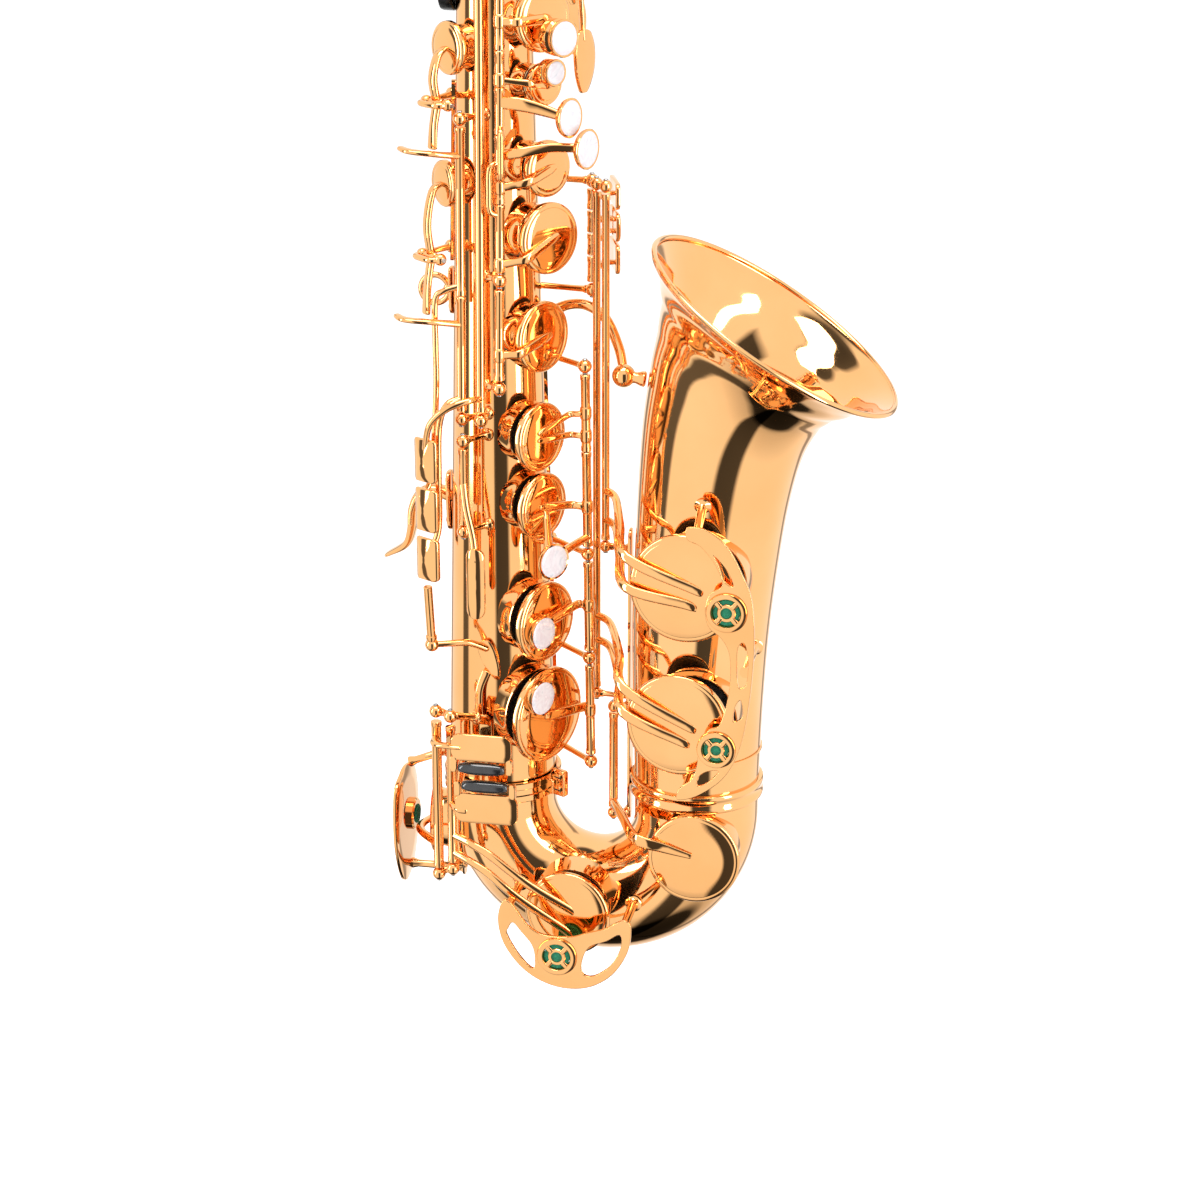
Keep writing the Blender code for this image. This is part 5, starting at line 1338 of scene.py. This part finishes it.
def look_side():
    for name, (_, theta, tail_z) in ROCKERS.items():
        s, top, normal = pad_key(name)
        centre, out, across = rocker_axis(name)
        rod(s, centre - across * 3.6, centre + across * 3.6, 2.0)
        bar(s, (
            centre, centre.lerp(top, 0.45) + out * 4.2, top + out * 4.4 - UP * 3, top + normal * 0.4
        ), [2.0, 2.3, 2.2, 1.8], [1.5, 1.3, 1.2, 0.9], up=out, square=2.5)
        bar(s, (
            centre, centre.lerp(around(theta, body_radius(tail_z) + 17.0, tail_z), 0.5) + out * 0.6,
            around(theta, body_radius(tail_z) + 17.0, tail_z)
        ), [2.2, 2.2, 2.6], [1.4, 1.2, 1.0], up=out, square=2.5)
        make(name, s)

    h = SIDE_LINE
    s = Shape()
    hub(s, h, 251.6, 299.6)
    side_plate(s, "bb")
    bar(s, (
        on_line(h, 257), (-14.5, -32.0, 255), (-17.6, -34.0, 246), (-18.1, -34.4, 225),
        (-18.2, -34.6, 205), (-19.6, -36.2, 197), side_spot("bb", 1.5, 5.5)
    ), 1.4)
    bar(s, (
        on_line(h, 288), (-20, -35, 290.5), (-30.0, -37.0, 291.5), (-34.6, -33.0, 292)
    ), [1.8, 2.0, 2.2, 1.6], [1.4, 1.2, 1.1, 1.0], up=UP, square=2.4)
    make("key_side_bb", s)
    s = Shape()
    hub(s, h, 300.2, 368.6)
    side_plate(s, "c")
    points = (
        on_line(h, 304), (-16.0, -28.6, 302), (-19.5, -28.8, 298), (-19.6, -29.2, 280),
        (-19.6, -29.2, 262),
        (-20.8, -31.0, 236), (-22.0, -33.5, 222), side_spot("c", -2.0, 5.5),
    )
    bar(s, points, 1.3)
    bar(s, (
        on_line(h, 357), (-19, -33, 359), (-27.5, -34.5, 360), (-32.0, -31.0, 360.5)
    ), [1.8, 2.0, 2.2, 1.6], [1.4, 1.2, 1.1, 1.0], up=UP, square=2.4)
    make("key_side_c", s)

    h = HIGH_E_LINE
    s, top, n = pad_key("key_side_e")
    hub(s, h, 251.8, 494.4)
    side_plate(s, "e")
    bar(s, (
        on_line(h, 257), (-3, -37.6, 259), (-12, -41.4, 256), (-19.5, -41.8, 249),
        side_spot("e", 1.0, 5.5)
    ), 1.4)
    cup_arm(s, "key_side_e", h, 487, top, n, 1.7)
    make("key_side_e", s)

    h = HIGH_FS_LINE
    s = Shape()
    hub(s, h, 204.2, 236.6)
    at = Vector((-1.4, -42.0, 181))
    plate(s, rounded(8.0, 31.0, 3.9), 1.8, at, (1, 0, 0), (0, -1, 0), bow=0.09, soft=0.6)
    bar(s, (
        on_line(h, 222), (-6, -36.5, 212), (-2.6, -39.5, 200), at + Vector((0, 0.6, 10))
    ), [1.9, 1.8, 1.7, 1.6])
    make("key_high_f_sharp", s)


# ---------------------------------------------------------------- palm keys, octave and table

PALM_TURN = {"key_palm_d": 0.0, "key_palm_eb": 0.0, "key_palm_f": -43.0}
PALM_SWELL = {"key_palm_d": 4.0, "key_palm_eb": 2.6, "key_palm_f": 4.0}
PALM_WIDTH = {"key_palm_d": 0.88, "key_palm_eb": 1.0, "key_palm_f": 1.0}


def look_palm():
    leaf = smooth_outline((
        (-4.6, 11), (-7, 4), (-6.2, -5), (-2.6, -12.4), (0, -13.4), (2.6, -12.4), (6.2, -5), (7, 4),
        (4.6, 11), (0, 12.4)
    ))
    for name, h in PALM_LINES.items():
        s, top, n = pad_key(name)
        low = h[0].z + 3.4
        hub(s, h, low, h[1].z - 3.2, 1.9)
        cup_arm(s, name, h, BODY_HOLES[name][1], top, n, 1.6)
        touch = PALM_TOUCH[name]
        face = Vector((touch.x, touch.y, 0)).normalized()
        turned = Matrix.Rotation(math.radians(PALM_TURN[name]), 3, "Z") @ face
        shape = [(x * PALM_WIDTH[name], y) for x, y in leaf]
        plate(s, shape, 2.0, touch, UP.cross(turned), turned, soft=0.7, crown=0.9)
        start = on_line(h, low + 2)
        bend = Vector((
            touch.x * 0.6 + start.x * 0.4, touch.y * 0.6 + start.y * 0.4, low - 1
        )) + face * PALM_SWELL[name]
        bar(s, (start, bend, touch + UP * 8), [1.8, 2.0, 2.4], [1.5, 1.4, 1.2], up=face, square=2.3)
        make(name, s)

    h = OCTAVE_LINE
    s = Shape()
    seat, top, n = cup_place("key_octave")
    cup(s, seat, n, 4.2, 3.2)
    hub(s, h, 439.2, 496.8, 1.9)
    stack_arm(s, h, 492, seat + n * 3.2, n, 4.2, 1.4)
    plate(s, rounded(12, 17, 4), 2.0, (-26.0, 1.5, 446), (0, 1, 0), (-1, 0.12, 0), bow=0.02, soft=0.6)
    bar(s, (on_line(h, 449), (-25.0, 10.0, 448), (-26.0, 6.0, 447), (-26.0, 3.0, 446)), 1.6)
    make("key_octave", s)


TABLE_FACE, TABLE_ACROSS = Vector((0.95, 0.3, 0)).normalized(), Vector((-0.3, 0.95, 0)).normalized()


def table_spot(forward, across, z):
    return on_line(TABLE_LINE, z) + TABLE_FACE * forward + TABLE_ACROSS * across


def look_table():
    """G-sharp across the top, C-sharp and B side by side, B-flat across the bottom."""
    rows = (
        ("touch_g_sharp", 334.2, 11.0, 24.4, 13.2, (330.2, 338.6), 334.4),
        ("touch_c_sharp", 321.2, 12.0, 10.8, 6.4, (320.6, 329.4), 324.6),
        ("touch_b", 321.2, 12.0, 10.8, 20.0, (311.0, 319.8), 317.0),
        ("touch_bb", 307.6, 12.4, 24.4, 13.2, (299.6, 310.2), 305.0),
    )
    for name, z, height, width, across, (h0, h1), arm_z in rows:
        s = Shape()
        hub(s, TABLE_LINE, h0, h1)
        plate(
            s, rounded(width, height, 2.6), 2.0, table_spot(11.0, across, z), TABLE_ACROSS, TABLE_FACE,
            soft=0.7, crown=0.7,
        )
        knuckle = table_spot(5.0, across - 5.0 if across > 15 else 9.0, arm_z)
        if name == "touch_c_sharp":
            knuckle = table_spot(7.4, 6.6, arm_z)
        path = (
            on_line(TABLE_LINE, arm_z), table_spot(4.6, 6.0, arm_z), knuckle,
            table_spot(10.4, across - 2.0, arm_z)
        )
        bar(s, path, [1.9, 1.9, 1.9, 2.4], [1.5, 1.4, 1.3, 0.9], up=UP, square=2.4)
        make(name, s)


# ---------------------------------------------------------------- low keys

def look_low():
    h = EB_LINE
    s, top, n = pad_key("key_low_eb")
    hub(s, h, 47.4, 115.4, 2.4)
    plate(
        s, rounded(26.5, 12.2, 4), 1.8, (1.3, -46.5, 109.2), (1, 0, 0), (0, -1, 0), soft=0.7, crown=0.4
    )
    for x in (-10.8, 13.4):
        plate(s, rounded(3.0, 7.4, 1.2), 2.6, (x, -46.2, 101.3), (1, 0, 0), (0, -1, 0), soft=0.6)
    bar(s, (
        on_line(h, 108), (-19.4, -43.2, 108.5), (-13.5, -46.0, 109), (-8, -46.8, 109)
    ), [2.0, 2.2, 2.2, 1.8], [1.8, 1.4, 1.2, 0.9], up=(0, 0, 1))
    bar(s, (
        on_line(h, 58), (-31.5, -23, 57.5), (-34.0, -14, 57), top - n * 0.2
    ), [1.9, 1.9, 2.1, 2.2], [1.9, 1.7, 1.3, 0.9], up=(0, 0, 1))
    make("key_low_eb", s)

    h = C_LINE
    s, top, n = pad_key("key_low_c", h, OPEN_LOW_C)
    hub(s, h, 52.4, 115.4)
    plate(
        s, rounded(27.5, 13.6, 4), 1.8, (3.2, -46.5, 81.4), (1, 0, 0), (0, -1, 0), soft=0.7, crown=0.4
    )
    for x in (-9.4, 14.6):
        plate(s, rounded(3.0, 7.0, 1.2), 2.6, (x, -46.2, 90.0), (1, 0, 0), (0, -1, 0), soft=0.6)
    bar(s, (on_line(h, 80), (-10, -45.5, 80), (-6, -46.4, 80)), 1.7)
    bar(s, (
        on_line(h, 65), (2, -46.8, 61.5), (20, -47.8, 49), top + Vector((1, 0, 3)),
        top + Vector((6, 0, -2))
    ), [1.6, 1.9, 1.9, 1.8, 1.2], [1.4, 1.3, 1.2, 1.0, 0.5], up=(0, -1, 0), square=2.2)
    bar(s, (
        on_line(h, 57), (2, -46.8, 52.5), (16, -47.8, 42), top + Vector((-1, 0, -7)),
        top + Vector((4, 0, -12))
    ), [1.6, 1.9, 1.9, 1.8, 1.2], [1.4, 1.3, 1.2, 1.0, 0.5], up=(0, -1, 0), square=2.2)
    make("key_low_c", s)
    for name, x0, x1, z in (("roller_low_eb", -8.8, 11.4, 99.7), ("roller_low_c", -7.4, 12.6, 91.6)):
        s = Shape()
        long = x1 - x0
        profile = (
            (0, 0), (1.3, 0), (1.9, 0.5), (2.45, 3), (2.75, long * 0.3), (2.8, long / 2),
            (2.75, long * 0.7), (2.45, long - 3), (1.9, long - 0.5), (1.3, long), (0, long)
        )
        lathe(s, profile, (x0, -46.6, z), (1, 0, 0), EBONITE, 40)
        make(name, s)

    h = CS_LINE
    s, top, n = pad_key("key_low_c_sharp")
    hub(s, h, 69.0, 113.0)
    bar(s, (
        on_line(h, 71), (57, -19, 70.5), (66, -36.5, 68.5), (78, -37.0, 65.6), (90, -37.0, 62.5)
    ), [2.4, 2.6, 2.8, 2.4, 1.2], [1.8, 1.6, 1.3, 1.0, 0.5], up=(0, -1, 0), square=2.4)
    make("key_low_c_sharp", s)

    for name, h, heights, z0 in (
        ("key_low_bb", BB_LINE, (212, 199), 190.0), ("key_low_b", B_LINE, (154, 143), 121.0)
    ):
        s, top, n = pad_key(name, h, OPEN_BELL)
        hub(s, h, z0, 338.8, 1.9)
        across = (Vector((-1, 0, 0)) + n * n.x).normalized()
        for i, z in enumerate(heights):
            end = top + Vector((4 - 3 * i, 0, 1 - 7 * i))
            edge = top + across * (LOW_HOLES[name][4] + 0.6) + n * 1.2
            edge.z = z - 15.0
            start = on_line(h, z)
            first = start + (
                Vector((5.5, -6.0, -1.5)) if name == "key_low_bb" else Vector((7.4, -6.6, -1.5))
            )
            tip = end + Vector((5.0, 0, -2.4))
            bar(
                s, (start, first, (56.5, -24.0, z - 7.0), edge, end + n * 0.6, tip + n * 0.2),
                [1.7, 1.7, 2.0, 2.2, 2.1, 1.0], [1.6, 1.6, 1.5, 1.2, 0.9, 0.4],
                up=(0.2, -1, 0), square=2.3,
            )
        make(name, s)


# ---------------------------------------------------------------- stage, light and camera

def stage():
    mesh = bpy.data.meshes.new("floor")
    corners = [
        (x * FLOOR_SIZE, y * FLOOR_SIZE, FLOOR_Z) for x, y in ((-1, -1), (1, -1), (1, 1), (-1, 1))
    ]
    mesh.from_pydata(corners, [], [(0, 1, 2, 3)])
    mat, tree, shader = shader_of("floor_white")
    tone = ramp(
        tree, noise_of(tree, 3, 2), ((0.3, (0.955, 0.955, 0.955)), (0.7, (0.975, 0.975, 0.975)))
    )
    tree.links.new(tone, shader.inputs["Base Color"])
    shader.inputs["Roughness"].default_value = 0.9
    shader.inputs["Emission Color"].default_value = (1, 1, 1, 1)
    shader.inputs["Emission Strength"].default_value = 0.14
    mesh.materials.append(mat)
    floor = bpy.data.objects.new("floor", mesh)
    bpy.context.scene.collection.objects.link(floor)
    floor.visible_glossy = False


def soft_light(name, place, target, size, power):
    data = bpy.data.lights.new(name, "AREA")
    data.shape = "RECTANGLE"
    data.size, data.size_y = size
    data.energy = power
    lamp = bpy.data.objects.new(name, data)
    lamp.location = place
    lamp.rotation_euler = (Vector(target) - Vector(place)).to_track_quat("-Z", "Y").to_euler()
    bpy.context.scene.collection.objects.link(lamp)


def band(tree, source, stops):
    """Brightness that follows one number through fixed steps, softly blended."""
    return ramp(tree, source, [(place, (level, level, level)) for place, level in stops])


def blend(tree, how, first, second):
    mix = tree.nodes.new("ShaderNodeMixRGB")
    mix.blend_type = how
    mix.inputs["Fac"].default_value = 1.0
    tree.links.new(first, mix.inputs["Color1"])
    tree.links.new(second, mix.inputs["Color2"])
    return mix.outputs["Color"]


def light():
    """Studio: white walls with dark flags between them, all as one sky, and soft boxes."""
    world = bpy.data.worlds.new("studio")
    bpy.context.scene.world = world
    world.use_nodes = True
    tree = world.node_tree
    back = tree.nodes["Background"]
    where = tree.nodes.new("ShaderNodeTexCoord")
    split = tree.nodes.new("ShaderNodeSeparateXYZ")
    tree.links.new(where.outputs["Generated"], split.inputs["Vector"])
    turn = tree.nodes.new("ShaderNodeMath")
    turn.operation = "ARCTAN2"
    tree.links.new(split.outputs["Y"], turn.inputs[0])
    tree.links.new(split.outputs["X"], turn.inputs[1])
    compass = tree.nodes.new("ShaderNodeMapRange")
    compass.inputs["From Min"].default_value = -math.pi
    compass.inputs["From Max"].default_value = math.pi
    tree.links.new(turn.outputs["Value"], compass.inputs["Value"])
    height = tree.nodes.new("ShaderNodeMapRange")
    height.inputs["From Min"].default_value = -1.0
    height.inputs["From Max"].default_value = 1.0
    tree.links.new(split.outputs["Z"], height.inputs["Value"])

    def at(degrees):
        return (degrees + 180) / 360

    walls = band(tree, compass.outputs["Result"], (
        (0.0, 1.0), (at(-177), 1.0), (at(-173), 0.12), (at(-160), 0.12), (at(-156), 1.0),
        (at(-93), 1.0), (at(-87), 0.06), (at(-60), 0.07), (at(-54), 1.0),
        (at(62), 1.0), (at(66), 0.35), (at(72), 0.35), (at(76), 1.0),
        (at(122), 1.0), (at(126), 0.3), (at(132), 0.3), (at(136), 1.0), (1.0, 1.0),
    ))
    above = band(tree, height.outputs["Result"], ((0.0, 0.0), (0.68, 0.0), (0.76, 1.0), (1.0, 1.0)))
    levels = band(tree, height.outputs["Result"], (
        (0.0, 0.01), (0.035, 0.02), (0.06, 0.6), (0.15, 0.95), (0.3, 1.0),
        (0.945, 1.0), (0.965, 0.1), (1.0, 0.05),
    ))
    sky = blend(tree, "MULTIPLY", blend(tree, "LIGHTEN", walls, above), levels)
    tree.links.new(sky, back.inputs["Color"])
    back.inputs["Strength"].default_value = SKY_STRENGTH
    middle = (0.05, 0, -0.1)
    soft_light("left_box", (-1.5, -0.9, 0.25), middle, (0.3, 1.7), 14)
    soft_light("right_box", (1.55, -0.75, 0.2), middle, (0.35, 1.7), 16)
    soft_light("top_box", (0.1, -0.3, 1.7), middle, (1.4, 0.8), 30)
    bpy.context.scene.view_settings.view_transform = "Standard"


def camera():
    data = bpy.data.cameras.new("camera")
    data.lens = CAMERA_LENS
    data.sensor_width = 36
    cam = bpy.data.objects.new("camera", data)
    cam.location = CAMERA_AT
    cam.rotation_euler = (CAMERA_AIM - CAMERA_AT).to_track_quat("-Z", "Y").to_euler()
    bpy.context.scene.collection.objects.link(cam)
    bpy.context.scene.camera = cam


for build in (
    look_body, look_bow, look_bell, look_fittings, look_neck, look_ribs, look_guards, look_upper_stack,
    look_lower_stack, look_side, look_palm, look_table, look_low, stage, light, camera,
):
    build()
